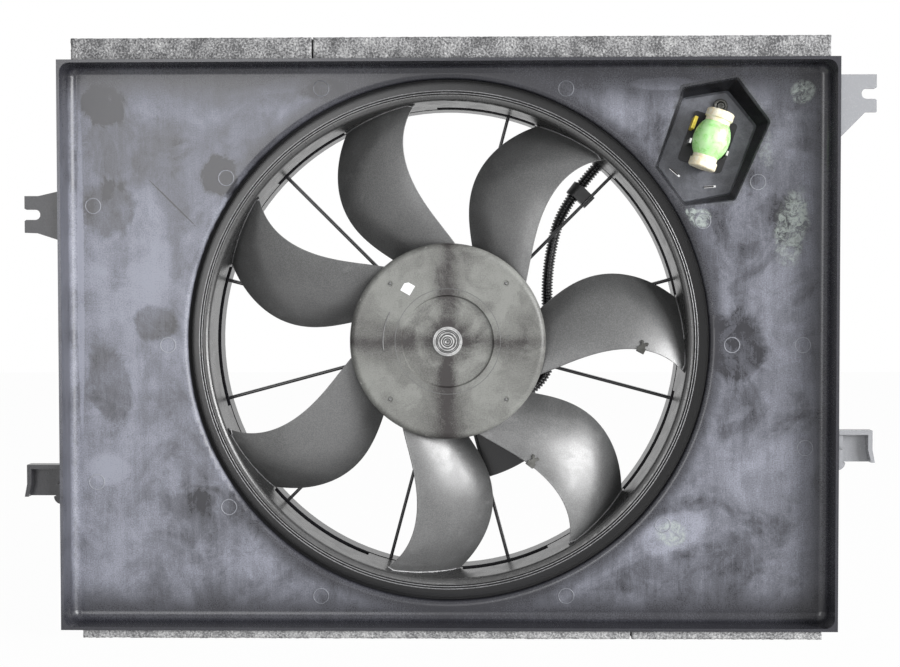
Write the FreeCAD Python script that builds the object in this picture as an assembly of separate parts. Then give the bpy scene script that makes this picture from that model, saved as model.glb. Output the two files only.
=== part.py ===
"""Radiator cooling fan module: a rectangular shroud, a banded seven blade fan and its motor.

Frame: millimetres. The origin lies on the fan's axis, in the plane of the shroud's open rim,
which faces the radiator. +X points right and +Z up as seen from the radiator, and +Y points
away from it, towards the motor. Angles run anticlockwise from +X as seen from the radiator.
"""
import FreeCAD, Part
import math
import os

from FreeCAD import Vector

# Shroud tray
TRAY_WIDTH = 640.0
TRAY_DEPTH = 30.0
MARGIN_ABOVE = 8.0
MARGIN_BELOW = 14.0
WALL = 2.5
TRAY_INNER_CORNER = 8.0
TRAY_FLOOR_ROUND = 10.0

# Barrel round the fan
MOUTH_ROUND = 5.0
LIP_CLEARANCE = 9.0
BAND_CLEARANCE = 4.0
TAIL_CLEARANCE = 2.5
LIP_RECESS_DEPTH = 16.0
BARREL_BACK = 98.0
THROAT_INSET = 2.5
GUSSET_THICKNESS = 2.0
GUSSET_REACH = 14.0
GUSSET_TIP = 2.5
GUSSET_ANGLES = (-60, -40, -20, 0, 20, 60, 120, 140, 160, 180, 200, 220, 240)

# Struts and the ring that carries the motor
STRUT_COUNT = 12
STRUT_FIRST_ANGLE = 15.0
STRUT_THICKNESS = 2.8
STRUT_DEPTH = 14.0
STATOR_RING_OUTER = 62.0
STATOR_RING_WALL = 12.0
STATOR_WEB_RADIUS = 126.0
STATOR_WEB_THICKNESS = 3.0
SCREW_COUNT = 3
SCREW_FIRST_ANGLE = 90.0
SCREW_RADIUS = 2.5
SCREW_HEAD_RADIUS = 5.0
SCREW_HEAD_HEIGHT = 4.0
SCREW_FLANGE_RADIUS = 6.0
SCREW_FLANGE_THICKNESS = 1.2

# Fan
HUB_RADIUS = 82.0
HUB_FRONT = 20.0
HUB_DEPTH = 44.0
HUB_WALL = 2.5
HUB_EDGE_ROUND = 5.5
HUB_RECESS_RADIUS = 37.5
HUB_RECESS_DEPTH = 2.0
HUB_RECESS_FLARE = 1.2
HUB_DIMPLE_CIRCLE = 68.3
HUB_DIMPLE_RADIUS = 2.6
HUB_DIMPLE_DEPTH = 0.8
HUB_BOSS_RADIUS = 15.0
HUB_RIB_COUNT = 7
HUB_RIB_THICKNESS = 2.0
HUB_RIB_DEPTH = 26.0
BAND_INNER_RADIUS = 201.5
BAND_TAPER = 2.2
BAND_WALL = 2.5
BAND_FRONT = 31.0
BAND_DEPTH = 35.0
BAND_TAIL_DEPTH = 9.0
BAND_LIP_REACH = 6.0
BAND_LIP_THICKNESS = 2.6
BAND_EDGE_ROUND = 4.5

# Blades. Each row of five values runs from the hub to the band in equal steps of radius.
BLADE_ANGLES = (103.5, 54.8, -2.2, -53.9, -99.9, -152.6, 148.2)
LEADING_SWEEP = (-17.2, -5.0, -0.5, -0.8, -5.7)
LEADING_DEPTH = (28.0, 28.0, 29.0, 32.0, 39.0)
TRAILING_SWEEP = (20.3, 25.8, 25.2, 20.1, 11.8)
TRAILING_DEPTH = (59.0, 61.0, 63.5, 67.5, 73.0)
BLADE_STACK = 8.0
BLADE_THICKNESS_ROOT = 3.4
BLADE_THICKNESS_TIP = 2.2
BLADE_CAMBER = 0.07
BLADE_SECTIONS = 8
TAIL_LEAD = 5.0
TAIL_TRAIL = 1.5

# Shaft and its fastening
SHAFT_RADIUS = 4.0
BUSH_CLEARANCE = 0.03
SHAFT_CENTRE_RADIUS = 2.4
INSERT_RADIUS = 9.5
INSERT_LENGTH = 30.0
INSERT_FLANGE_RADIUS = 12.2
INSERT_FLANGE_THICKNESS = 1.2
WASHER_RADIUS = 9.4
WASHER_THICKNESS = 1.2
NUT_RADIUS = 8.2
NUT_COLLAR_RADIUS = 6.1
NUT_GROOVE_WIDTH = 1.0
NUT_HEIGHT = 4.0
SHAFT_NOSE = 1.0

# Motor
CAN_RADIUS = 46.0
CAN_WALL = 2.0
CAN_FRONT = 66.0
CAN_BACK = 122.0
CAN_EDGE_ROUND = 5.0
FLANGE_THICKNESS = 2.0
FLANGE_EAR_RADIUS = 8.5
CAP_THICKNESS = 2.0
BUSH_RADIUS = 8.0
BUSH_LENGTH = 9.0
BUSH_SEAT_WALL = 1.6
MAGNET_COUNT = 4
MAGNET_THICKNESS = 7.0
MAGNET_SPAN = 68.0
AIR_GAP = 0.8
CORE_FRONT = 80.0
CORE_BACK = 108.0
CORE_SLOTS = 14
CORE_SLOT_WIDTH = 5.0
CORE_SLOT_DEPTH = 14.0
WINDING_OVERHANG = 6.0
COMMUTATOR_RADIUS = 13.0
COMMUTATOR_LENGTH = 5.0
COMMUTATOR_BARS = 14
BRUSH_CARD_THICKNESS = 2.5
BRUSH_GAP = 0.3
BRUSH_LENGTH = 12.0
BRUSH_WIDTH = 6.0
BRUSH_HEIGHT = 4.0
BRUSH_SPRING_LENGTH = 9.0
BRUSH_SPRING_RADIUS = 1.8
SPACER_RADIUS = 6.5

# Lead from the resistor to the motor
CONDUIT_RADIUS = 5.0
CONDUIT_GAP = 1.5
PLUG_LENGTH = 18.0
PLUG_WIDTH = 16.0
PLUG_DEPTH = 13.0
SOCKET_WALL = 2.0
SOCKET_LENGTH = 24.0
CLIP_LENGTH = 12.0
CLIP_WALL = 1.8
CLIP_PLACES = ((45.0, 172.0), (15.0, 89.0))
LEAD_TURNS = ((52.0, -54.5, 0.0), (76.0, -45.0, 0.0), (91.0, -22.0, 0.0), (87.5, 12.0, 0.0),
              (86.0, 46.0, 0.0), (90.0, 80.0, 0.0), (99.0, 112.0, 0.0), (128.0, 150.0, 0.0),
              (154.0, 174.0, -3.0))
LEAD_FINISH = 26.0

# Resistor pocket and the resistor in it
POCKET_MOUTH = ((-23.5, 46.2), (23.0, 54.8), (50.5, 17.8), (21.0, -48.2), (-22.0, -52.5),
                (-46.0, -20.2))
POCKET_FOOT = ((-19.4, 38.7), (16.7, 44.3), (40.3, 15.7), (19.7, -40.0), (-18.2, -47.4),
               (-40.4, -17.1))
POCKET_REACH = 50.2
POCKET_ANGLE = 37.0
POCKET_DEPTH = 22.0
POCKET_ROUND = 4.0
DRAIN_WIDTH = 1.8
DRAIN_PLACES = ((-26.5, -22.6, 11.0, -41.0), (3.4, -34.9, 10.0, 4.0))
RESISTOR_SHIFT = (1.0, 2.8)
RESISTOR_TILT = -19.5
RESISTOR_LENGTH = 50.0
RESISTOR_END_RADIUS = 11.7
RESISTOR_END_LENGTH = 6.5
RESISTOR_WAIST_RADIUS = 10.4
RESISTOR_BELLY_RADIUS = 15.4
RESISTOR_STAND = 3.0
BASE_WIDTH = 38.5
BASE_LENGTH = 44.0
BASE_THICKNESS = 2.0
BASE_EAR_RADIUS = 6.0
BASE_EAR_REACH = 32.0
RESISTOR_SCREW_RADIUS = 2.0
RESISTOR_SCREW_HEAD = 3.2
RESISTOR_SCREW_HEIGHT = 1.8
RESISTOR_CORE_RADIUS = 6.5
TERMINAL_WIDTH = 4.0
TERMINAL_THICKNESS = 0.8
FUSE_WIDTH = 3.0
FUSE_LENGTH = 11.0
HOUSING_WIDTH = 24.0
HOUSING_LENGTH = 40.0
HOUSING_DEPTH = 20.0
RESISTOR_PLUG_DEPTH = 14.0
RESISTOR_PLUG_HEIGHT = 15.0
SUPPLY_DEPTH = 14.0
SUPPLY_WALL = 2.0
SUPPLY_PIN = 1.2

# Brackets at the sides. Heights of the upper ones are above the tray's top edge, and those of the
# lower ones above its bottom edge.
SLOT_WIDTH = 8.4
BRACKET_FRONT = 5.0
BRACKET_THICKNESS = 4.0
LEFT_BRACKET = ((0.0, -107.3), (-17.0, -111.2), (-28.5, -111.2), (-28.5, -141.4),
                (-18.0, -141.8), (0.0, -147.7))
LEFT_SLOT_HEIGHT = -126.6
LEFT_SLOT_END = -15.5
RIGHT_BRACKET = ((0.0, -14.2), (30.0, -14.2), (30.0, -44.8), (21.0, -44.8), (0.0, -66.0))
RIGHT_SLOT_HEIGHT = -29.9
RIGHT_SLOT_END = 17.8
SLOT_FLARE = 1.5
HOOK_WIDTH = 28.0
HOOK_HEIGHT = 26.5
HOOK_FRONT = 3.0
HOOK_DEPTH = 12.0
HOOK_LIP = 3.6
HOOK_GUSSET = 4.5
LEFT_HOOK_TOP = 136.8
RIGHT_HOOK_TOP = 165.4

# Balance clips and the blank label. A clip's place is its blade, its share of the blade's
# length, its turn in the blade's face and how far it is pushed on.
BALANCE_PLACES = ((2, 0.672, -26.4, 0.0), (3, 0.356, 19.5, 1.2))
BALANCE_OUTLINE = ((-3.5, -2.9), (3.5, -2.9), (3.5, 1.1), (2.1, 1.7), (2.1, 4.3), (3.5, 4.9),
                   (3.5, 6.9), (1.2, 6.9), (1.2, 5.3), (-1.2, 5.3), (-1.2, 6.9), (-3.5, 6.9),
                   (-3.5, 4.9), (-2.1, 4.3), (-2.1, 1.7), (-3.5, 1.1))
BALANCE_HEIGHT = 4.4
BALANCE_LEAN = 14.0
LABEL_SIZE = 9.0
LABEL_THICKNESS = 0.3
LABEL_TURN = -30.0
LABEL_PLACE = (-33.2, 44.4)

# Foam strips
FOAM_FRONT = 3.0
FOAM_DEPTH = 20.0
TOP_FOAM_THICKNESS = 18.0
TOP_FOAM_LEFT = -309.0
TOP_FOAM_RIGHT = 313.0
TOP_FOAM_JOINT = -110.0
BOTTOM_FOAM_THICKNESS = 7.5
BOTTOM_FOAM_LEFT = -303.0
BOTTOM_FOAM_RIGHT = 308.0
BOTTOM_FOAM_JOINT = 151.0

AXIS = Vector(0, 1, 0)
ORIGIN = Vector(0, 0, 0)

# Sizes that follow from those above
BAND_OUTER_RADIUS = BAND_INNER_RADIUS + BAND_WALL
BAND_LIP_RADIUS = BAND_OUTER_RADIUS + BAND_LIP_REACH
LIP_RECESS_RADIUS = BAND_LIP_RADIUS + LIP_CLEARANCE
PANEL_JOIN_RADIUS = LIP_RECESS_RADIUS + MOUTH_ROUND
THROAT_RADIUS = BAND_INNER_RADIUS - THROAT_INSET
TRAY_TOP = PANEL_JOIN_RADIUS + MARGIN_ABOVE
TRAY_BOTTOM = -PANEL_JOIN_RADIUS - MARGIN_BELOW
TRAY_SIDE = TRAY_WIDTH / 2
BAND_BACK = BAND_FRONT + BAND_DEPTH
BAND_TAIL_BACK = BAND_BACK + BAND_TAIL_DEPTH
BARREL_RADIUS = BAND_OUTER_RADIUS + BAND_CLEARANCE
BARREL_STEP = TRAY_DEPTH + LIP_RECESS_DEPTH
THROAT_FRONT = BAND_TAIL_BACK + TAIL_CLEARANCE
STRUT_FRONT = BARREL_BACK - STRUT_DEPTH
STATOR_RING_INNER = STATOR_RING_OUTER - STATOR_RING_WALL
SCREW_CIRCLE = (STATOR_RING_OUTER + STATOR_RING_INNER) / 2
HUB_BACK = HUB_FRONT + HUB_DEPTH
HUB_FLOOR = HUB_FRONT + HUB_RECESS_DEPTH
INSERT_FRONT = HUB_FLOOR - INSERT_FLANGE_THICKNESS
WASHER_FRONT = INSERT_FRONT - WASHER_THICKNESS
NUT_FRONT = WASHER_FRONT - NUT_HEIGHT
SHAFT_FRONT = NUT_FRONT - SHAFT_NOSE
CAP_BACK = CAN_FRONT
CAP_FRONT = CAP_BACK - CAP_THICKNESS
FRONT_BUSH_FRONT = CAP_BACK - BUSH_LENGTH
HUB_BOSS_BACK = HUB_FLOOR + INSERT_LENGTH
REAR_BUSH_BACK = CAN_BACK + 2.0
MAGNET_OUTER = CAN_RADIUS - CAN_WALL
MAGNET_INNER = MAGNET_OUTER - MAGNET_THICKNESS
CORE_RADIUS = MAGNET_INNER - AIR_GAP
SOCKET_TOP = -CAN_RADIUS + 1.0
CONDUIT_DEPTH = BARREL_BACK + CONDUIT_GAP + CONDUIT_RADIUS
PLUG_HEIGHT = LEAD_TURNS[0][1]
PANEL_BACK = TRAY_DEPTH + WALL
POCKET_FLOOR = TRAY_DEPTH + POCKET_DEPTH
POCKET_BACK = POCKET_FLOOR + WALL
POCKET_CENTRE = ((PANEL_JOIN_RADIUS + POCKET_REACH) * math.cos(math.radians(POCKET_ANGLE)),
                 (PANEL_JOIN_RADIUS + POCKET_REACH) * math.sin(math.radians(POCKET_ANGLE)))
RESISTOR_CENTRE = (POCKET_CENTRE[0] + RESISTOR_SHIFT[0], POCKET_CENTRE[1] + RESISTOR_SHIFT[1])


def box(x0, x1, y0, y1, z0, z1):
    """Block between two corners."""
    return Part.makeBox(x1 - x0, y1 - y0, z1 - z0, Vector(x0, y0, z0))


def rod(radius, y0, y1, x=0.0, z=0.0):
    """Round bar along the fan's axis direction."""
    return Part.makeCylinder(radius, y1 - y0, Vector(x, y0, z), AXIS)


def tube(outer, inner, y0, y1, x=0.0, z=0.0):
    """Round bar with a round hole through it."""
    return rod(outer, y0, y1, x, z).cut(rod(inner, y0, y1, x, z))


def revolved(profile, start=0.0, span=360.0):
    """Ring with a polygon of (radius, depth) points as its section."""
    points = [Vector(r, y, 0) for r, y in profile]
    face = Part.Face(Part.makePolygon(points + points[:1]))
    solid = face.revolve(ORIGIN, AXIS, -span)
    return turned(solid, start)


def turned(shape, angle):
    """Copy turned anticlockwise about the fan's axis."""
    copy = shape.copy()
    copy.rotate(ORIGIN, AXIS, -angle)
    return copy


def polar(radius, angle, depth=0.0):
    """Point at a radius and an angle about the fan's axis."""
    a = math.radians(angle)
    return Vector(radius * math.cos(a), depth, radius * math.sin(a))


def plate(points, y0, y1):
    """Flat plate with a polygon outline of (x, z) points."""
    corners = [Vector(x, y0, z) for x, z in points]
    face = Part.Face(Part.makePolygon(corners + corners[:1]))
    return face.extrude(Vector(0, y1 - y0, 0))


def rounded_outline(points, radius, depth):
    """Closed wire through (x, z) points, with an arc of one radius at each corner."""
    count = len(points)
    starts, mids, ends = [], [], []
    for i in range(count):
        corner = Vector(points[i][0], depth, points[i][1])
        before = Vector(points[i - 1][0], depth, points[i - 1][1]) - corner
        after = Vector(points[(i + 1) % count][0], depth, points[(i + 1) % count][1]) - corner
        before.normalize()
        after.normalize()
        half = before.getAngle(after) / 2
        bisector = (before + after).normalize()
        centre = corner + bisector * (radius / math.sin(half))
        starts.append(corner + before * (radius / math.tan(half)))
        mids.append(centre - bisector * radius)
        ends.append(corner + after * (radius / math.tan(half)))
    edges = []
    for i in range(count):
        edges.append(Part.Arc(starts[i], mids[i], ends[i]).toShape())
        edges.append(Part.LineSegment(ends[i], starts[(i + 1) % count]).toShape())
    return Part.Wire(edges)


def edges_along(shape, direction):
    """Straight edges of a shape that run along a direction."""
    picked = []
    for edge in shape.Edges:
        if len(edge.Vertexes) == 2 and isinstance(edge.Curve, Part.Line):
            run = edge.Vertexes[1].Point - edge.Vertexes[0].Point
            if abs(run.normalize().dot(direction)) > 0.999:
                picked.append(edge)
    return picked


def edges_at_depth(shape, depth):
    """Edges of a shape that lie wholly at one depth."""
    picked = []
    for edge in shape.Edges:
        bounds = edge.BoundBox
        if abs(bounds.YMin - depth) < 0.01 and abs(bounds.YMax - depth) < 0.01:
            picked.append(edge)
    return picked


def shroud_tray():
    """Open rectangular tray with holes for the barrel and the resistor pocket."""
    outer = box(-TRAY_SIDE, TRAY_SIDE, 0, PANEL_BACK, TRAY_BOTTOM, TRAY_TOP)
    outer = outer.makeFillet(TRAY_FLOOR_ROUND + WALL, edges_at_depth(outer, PANEL_BACK))
    inner = box(-TRAY_SIDE + WALL, TRAY_SIDE - WALL, -1, TRAY_DEPTH, TRAY_BOTTOM + WALL,
                TRAY_TOP - WALL)
    inner = inner.makeFillet(TRAY_INNER_CORNER, edges_along(inner, AXIS))
    inner = inner.makeFillet(TRAY_FLOOR_ROUND * 0.7, edges_at_depth(inner, TRAY_DEPTH))
    tray = outer.cut(inner)
    tray = tray.cut(rod(PANEL_JOIN_RADIUS, -1, PANEL_BACK + 1))
    return tray.cut(pocket_body(WALL, TRAY_DEPTH - 1, POCKET_BACK))


def pocket_body(grow, front, back):
    """Tapered six sided block that fills the pocket, grown sideways by a wall."""
    rings = []
    for depth in (front, back):
        share = (depth - TRAY_DEPTH) / POCKET_DEPTH
        corners = []
        for mouth, foot in zip(POCKET_MOUTH, POCKET_FOOT):
            run = Vector(mouth[0], 0, mouth[1]) * (1 - share) + Vector(foot[0], 0, foot[1]) * share
            run = run + Vector(run).normalize() * grow
            corners.append((POCKET_CENTRE[0] + run.x, POCKET_CENTRE[1] + run.z))
        rings.append(rounded_outline(corners, POCKET_ROUND, depth))
    return Part.makeLoft(rings, True, True)


def resistor_pocket():
    """Drafted pocket behind the tray's panel, with a floor that the resistor base crosses."""
    shell = pocket_body(WALL, TRAY_DEPTH - 1, POCKET_BACK)
    shell = shell.cut(pocket_body(0, TRAY_DEPTH - 2, POCKET_FLOOR))
    shell = shell.cut(box(0, TRAY_SIDE, 0, TRAY_DEPTH, 0, TRAY_TOP))
    shell = shell.cut(rod(PANEL_JOIN_RADIUS, 0, TRAY_DEPTH + MOUTH_ROUND))
    window = tilted(box(-HOUSING_WIDTH / 2, HOUSING_WIDTH / 2, POCKET_FLOOR - 1, POCKET_BACK + 1,
                        -HOUSING_LENGTH / 2, HOUSING_LENGTH / 2))
    ear = ear_centre()
    holes = [window, rod(RESISTOR_SCREW_RADIUS, POCKET_FLOOR - 1, POCKET_BACK + 1, ear.x, ear.z)]
    for x, z, length, angle in DRAIN_PLACES:
        slot = box(-length / 2, length / 2, POCKET_FLOOR - 1, POCKET_BACK + 1,
                   -DRAIN_WIDTH / 2, DRAIN_WIDTH / 2)
        slot = turned(slot, angle)
        slot.translate(Vector(POCKET_CENTRE[0] + x, 0, POCKET_CENTRE[1] + z))
        holes.append(slot)
    return shell.cut(holes)


def tilted(shape):
    """Copy moved from the origin to the resistor's place, leaning as the resistor does."""
    copy = shape.copy()
    copy.rotate(ORIGIN, AXIS, -RESISTOR_TILT)
    copy.translate(Vector(RESISTOR_CENTRE[0], 0, RESISTOR_CENTRE[1]))
    return copy


def ear_centre():
    """Centre of the ear that screws the resistor base down."""
    a = math.radians(RESISTOR_TILT)
    return Vector(RESISTOR_CENTRE[0] - BASE_EAR_REACH * math.sin(a), 0,
                  RESISTOR_CENTRE[1] + BASE_EAR_REACH * math.cos(a))


def shroud_barrel():
    """Stepped barrel: a recess round the fan's lip, a wall round its band, then the throat."""
    outer = LIP_RECESS_RADIUS + WALL
    neck = TRAY_DEPTH + MOUTH_ROUND
    profile = (mouth_point(WALL, 0), (outer, BARREL_STEP + WALL),
               (BARREL_RADIUS + WALL, BARREL_STEP + WALL),
               (BARREL_RADIUS + WALL, THROAT_FRONT + WALL),
               (THROAT_RADIUS + WALL, THROAT_FRONT + WALL), (THROAT_RADIUS + WALL, BARREL_BACK),
               (THROAT_RADIUS, BARREL_BACK), (THROAT_RADIUS, THROAT_FRONT),
               (BARREL_RADIUS, THROAT_FRONT), (BARREL_RADIUS, BARREL_STEP),
               (LIP_RECESS_RADIUS, BARREL_STEP), mouth_point(0, 0))
    points = [Vector(r, y, 0) for r, y in profile]
    outline = [Part.LineSegment(a, b).toShape() for a, b in zip(points, points[1:])]
    for inset in (0, WALL):
        start, middle, end = [Vector(*mouth_point(inset, angle), 0) for angle in (0, 45, 90)]
        outline.append(Part.Arc(start, middle, end).toShape())
    outline.append(Part.LineSegment(Vector(*mouth_point(0, 90), 0),
                                    Vector(*mouth_point(WALL, 90), 0)).toShape())
    section = Part.Face(Part.Wire(Part.__sortEdges__(outline)))
    barrel = section.revolve(ORIGIN, AXIS, 360)
    gussets = []
    for angle in GUSSET_ANGLES:
        corners = ((BARREL_RADIUS + WALL / 2, THROAT_FRONT), (BARREL_RADIUS + WALL / 2, BARREL_STEP),
                   (outer - WALL / 2, BARREL_STEP), mouth_point(WALL / 2, 0),
                   mouth_point(WALL / 2, 45), (PANEL_JOIN_RADIUS, PANEL_BACK),
                   (outer + GUSSET_REACH, PANEL_BACK),
                   (BARREL_RADIUS + WALL + GUSSET_TIP, THROAT_FRONT))
        face = Part.Face(Part.makePolygon([Vector(r, y, -GUSSET_THICKNESS / 2)
                                           for r, y in corners + corners[:1]]))
        gussets.append(turned(face.extrude(Vector(0, 0, GUSSET_THICKNESS)), angle))
    return barrel.fuse(gussets).removeSplitter()


def mouth_point(inset, angle):
    """Radius and depth on the barrel's rolled mouth, set in from its front surface."""
    reach = MOUTH_ROUND - inset
    a = math.radians(angle)
    return PANEL_JOIN_RADIUS - reach * math.cos(a), TRAY_DEPTH + MOUTH_ROUND - reach * math.sin(a)


def stator_struts():
    """Thin radial struts with rounded front edges, from the motor ring to the throat."""
    half = STRUT_THICKNESS / 2
    bar = box(STATOR_RING_OUTER - 5, THROAT_RADIUS + 5, STRUT_FRONT, BARREL_BACK, -half, half)
    front = [e for e in edges_along(bar, Vector(1, 0, 0)) if e.BoundBox.YMax < STRUT_FRONT + 1]
    bar = bar.makeFillet(half * 0.8, front)
    span = tube(THROAT_RADIUS, STATOR_RING_OUTER, STRUT_FRONT - 1, BARREL_BACK + 1)
    bar = bar.common(span)
    pitch = 360.0 / STRUT_COUNT
    return Part.makeCompound([turned(bar, STRUT_FIRST_ANGLE + i * pitch)
                              for i in range(STRUT_COUNT)])


def stator_ring():
    """Ring behind the hub that the motor's flange is screwed to."""
    ring = tube(STATOR_RING_OUTER, STATOR_RING_INNER, STRUT_FRONT, BARREL_BACK)
    groove = tube(SCREW_CIRCLE + 3.5, SCREW_CIRCLE - 3.5, STRUT_FRONT + WALL, BARREL_BACK + 1)
    ring = ring.cut(groove)
    for centre in screw_centres():
        boss = rod(SCREW_FLANGE_RADIUS, STRUT_FRONT, BARREL_BACK, centre.x, centre.z)
        boss = boss.common(tube(STATOR_RING_OUTER, STATOR_RING_INNER, STRUT_FRONT, BARREL_BACK))
        ring = ring.fuse(boss).cut(rod(SCREW_RADIUS, 0, BARREL_BACK + 1, centre.x, centre.z))
    return ring.removeSplitter()


def screw_centres():
    """Places of the motor screws."""
    return [polar(SCREW_CIRCLE, SCREW_FIRST_ANGLE + i * 360.0 / SCREW_COUNT)
            for i in range(SCREW_COUNT)]


def stator_web():
    """Plate between two lower struts, which covers the motor's plug from the front."""
    pitch = 360.0 / STRUT_COUNT
    sector = revolved(((STATOR_RING_OUTER, STRUT_FRONT + 1), (STATOR_WEB_RADIUS, STRUT_FRONT + 1),
                       (STATOR_WEB_RADIUS, STRUT_FRONT + 1 + STATOR_WEB_THICKNESS),
                       (STATOR_RING_OUTER, STRUT_FRONT + 1 + STATOR_WEB_THICKNESS)),
                      STRUT_FIRST_ANGLE - 3 * pitch, pitch)
    for struts in stator_struts().Solids:
        sector = sector.cut(struts)
    return sector


def motor_screws():
    """Hex head screws with a flange, from behind into the motor's flange."""
    screws = []
    for centre in screw_centres():
        head = Part.makePolygon([Vector(SCREW_HEAD_RADIUS * math.cos(math.radians(60 * i)), 0,
                                        SCREW_HEAD_RADIUS * math.sin(math.radians(60 * i)))
                                 for i in range(7)])
        head = Part.Face(head).extrude(Vector(0, SCREW_HEAD_HEIGHT, 0))
        head.translate(Vector(centre.x, BARREL_BACK + SCREW_FLANGE_THICKNESS, centre.z))
        flange = rod(SCREW_FLANGE_RADIUS, BARREL_BACK, BARREL_BACK + SCREW_FLANGE_THICKNESS,
                     centre.x, centre.z)
        shank = rod(SCREW_RADIUS, STRUT_FRONT - FLANGE_THICKNESS, BARREL_BACK, centre.x, centre.z)
        screws.append(head.fuse([flange, shank]).removeSplitter())
    return Part.makeCompound(screws)


def blend(values, share):
    """Smooth curve through evenly spaced values, read at a share of its length."""
    last = len(values) - 1
    total = 0.0
    for i, value in enumerate(values):
        weight = 1.0
        for j in range(len(values)):
            if j != i:
                weight *= (share * last - j) / (i - j)
        total += weight * value
    return total


def edge_point(sweep, depth, plane):
    """Place where a blade edge crosses a plane square to the blade's stacking line."""
    radius = plane
    for _ in range(20):
        share = (radius - HUB_RADIUS) / (BAND_INNER_RADIUS - HUB_RADIUS)
        lean = math.radians(blend(sweep, share) - BLADE_STACK)
        radius = plane / math.cos(lean)
    return Vector(plane, blend(depth, share), plane * math.tan(lean))


def blade_section(plane):
    """Closed outline of a cambered blade in one plane, with round edges."""
    lead = edge_point(LEADING_SWEEP, LEADING_DEPTH, plane)
    trail = edge_point(TRAILING_SWEEP, TRAILING_DEPTH, plane)
    chord = trail - lead
    ahead = Vector(0, -chord.z, chord.y).normalize()
    if ahead.y > 0:
        ahead = ahead * -1
    share = (plane - HUB_RADIUS) / (BAND_INNER_RADIUS - HUB_RADIUS)
    thickness = BLADE_THICKNESS_ROOT + share * (BLADE_THICKNESS_TIP - BLADE_THICKNESS_ROOT)
    front, back = [], []
    for i in range(7):
        f = i / 6.0
        middle = lead + chord * f + ahead * (4 * f * (1 - f) * BLADE_CAMBER * chord.Length)
        half = thickness / 2 * (0.45 + 0.55 * math.sin(math.pi * f ** 0.75))
        front.append(middle + ahead * half)
        back.append(middle - ahead * half)
    along = Vector(chord).normalize()
    top, bottom = Part.BSplineCurve(), Part.BSplineCurve()
    top.interpolate(front)
    bottom.interpolate(list(reversed(back)))
    nose = lead - along * (thickness * 0.25)
    tail = trail + along * (thickness * 0.25)
    return Part.Wire([top.toShape(), Part.Arc(front[-1], tail, back[-1]).toShape(),
                      bottom.toShape(), Part.Arc(back[0], nose, front[0]).toShape()])


def fan_blades():
    """Seven swept blades, unevenly spaced, each cut off at the hub and at the band."""
    first, last = HUB_RADIUS * 0.84, BAND_INNER_RADIUS * 1.015
    planes = [first + (last - first) * i / (BLADE_SECTIONS - 1) for i in range(BLADE_SECTIONS)]
    blade = Part.makeLoft([blade_section(p) for p in planes], True, False)
    blade = turned(blade, BLADE_STACK)
    reach = revolved(((HUB_RADIUS, HUB_FRONT), band_inner(HUB_FRONT), band_inner(THROAT_FRONT),
                      (HUB_RADIUS, THROAT_FRONT)))
    blade = blade.common(reach)
    return Part.makeCompound([turned(blade, angle) for angle in BLADE_ANGLES])


def band_inner(depth):
    """Radius and depth of a point on the band's slightly tapered inner wall."""
    length = BAND_DEPTH + BAND_TAIL_DEPTH
    return (BAND_INNER_RADIUS - BAND_TAPER * (depth - BAND_FRONT) / length, depth)


def fan_band():
    """Band round the blade tips: a front lip, a thin wall and a longer tail at each blade."""
    profile = (band_inner(BAND_FRONT), (BAND_LIP_RADIUS, BAND_FRONT),
               (BAND_LIP_RADIUS, BAND_FRONT + BAND_LIP_THICKNESS),
               (BAND_OUTER_RADIUS, BAND_FRONT + BAND_LIP_THICKNESS),
               (BAND_OUTER_RADIUS, BAND_BACK), band_inner(BAND_BACK))
    band = revolved(profile)
    edge = [e for e in edges_at_depth(band, BAND_FRONT) if e.Curve.Radius < BAND_OUTER_RADIUS]
    band = band.makeFillet(BAND_EDGE_ROUND, edge)
    tail = (band_inner(BAND_BACK), (BAND_OUTER_RADIUS, BAND_BACK),
            (BAND_OUTER_RADIUS, BAND_TAIL_BACK), band_inner(BAND_TAIL_BACK))
    span = TRAILING_SWEEP[-1] + TAIL_TRAIL - LEADING_SWEEP[-1] + TAIL_LEAD
    tails = [revolved(tail, angle + LEADING_SWEEP[-1] - TAIL_LEAD, span) for angle in BLADE_ANGLES]
    return band.fuse(tails).removeSplitter()


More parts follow.
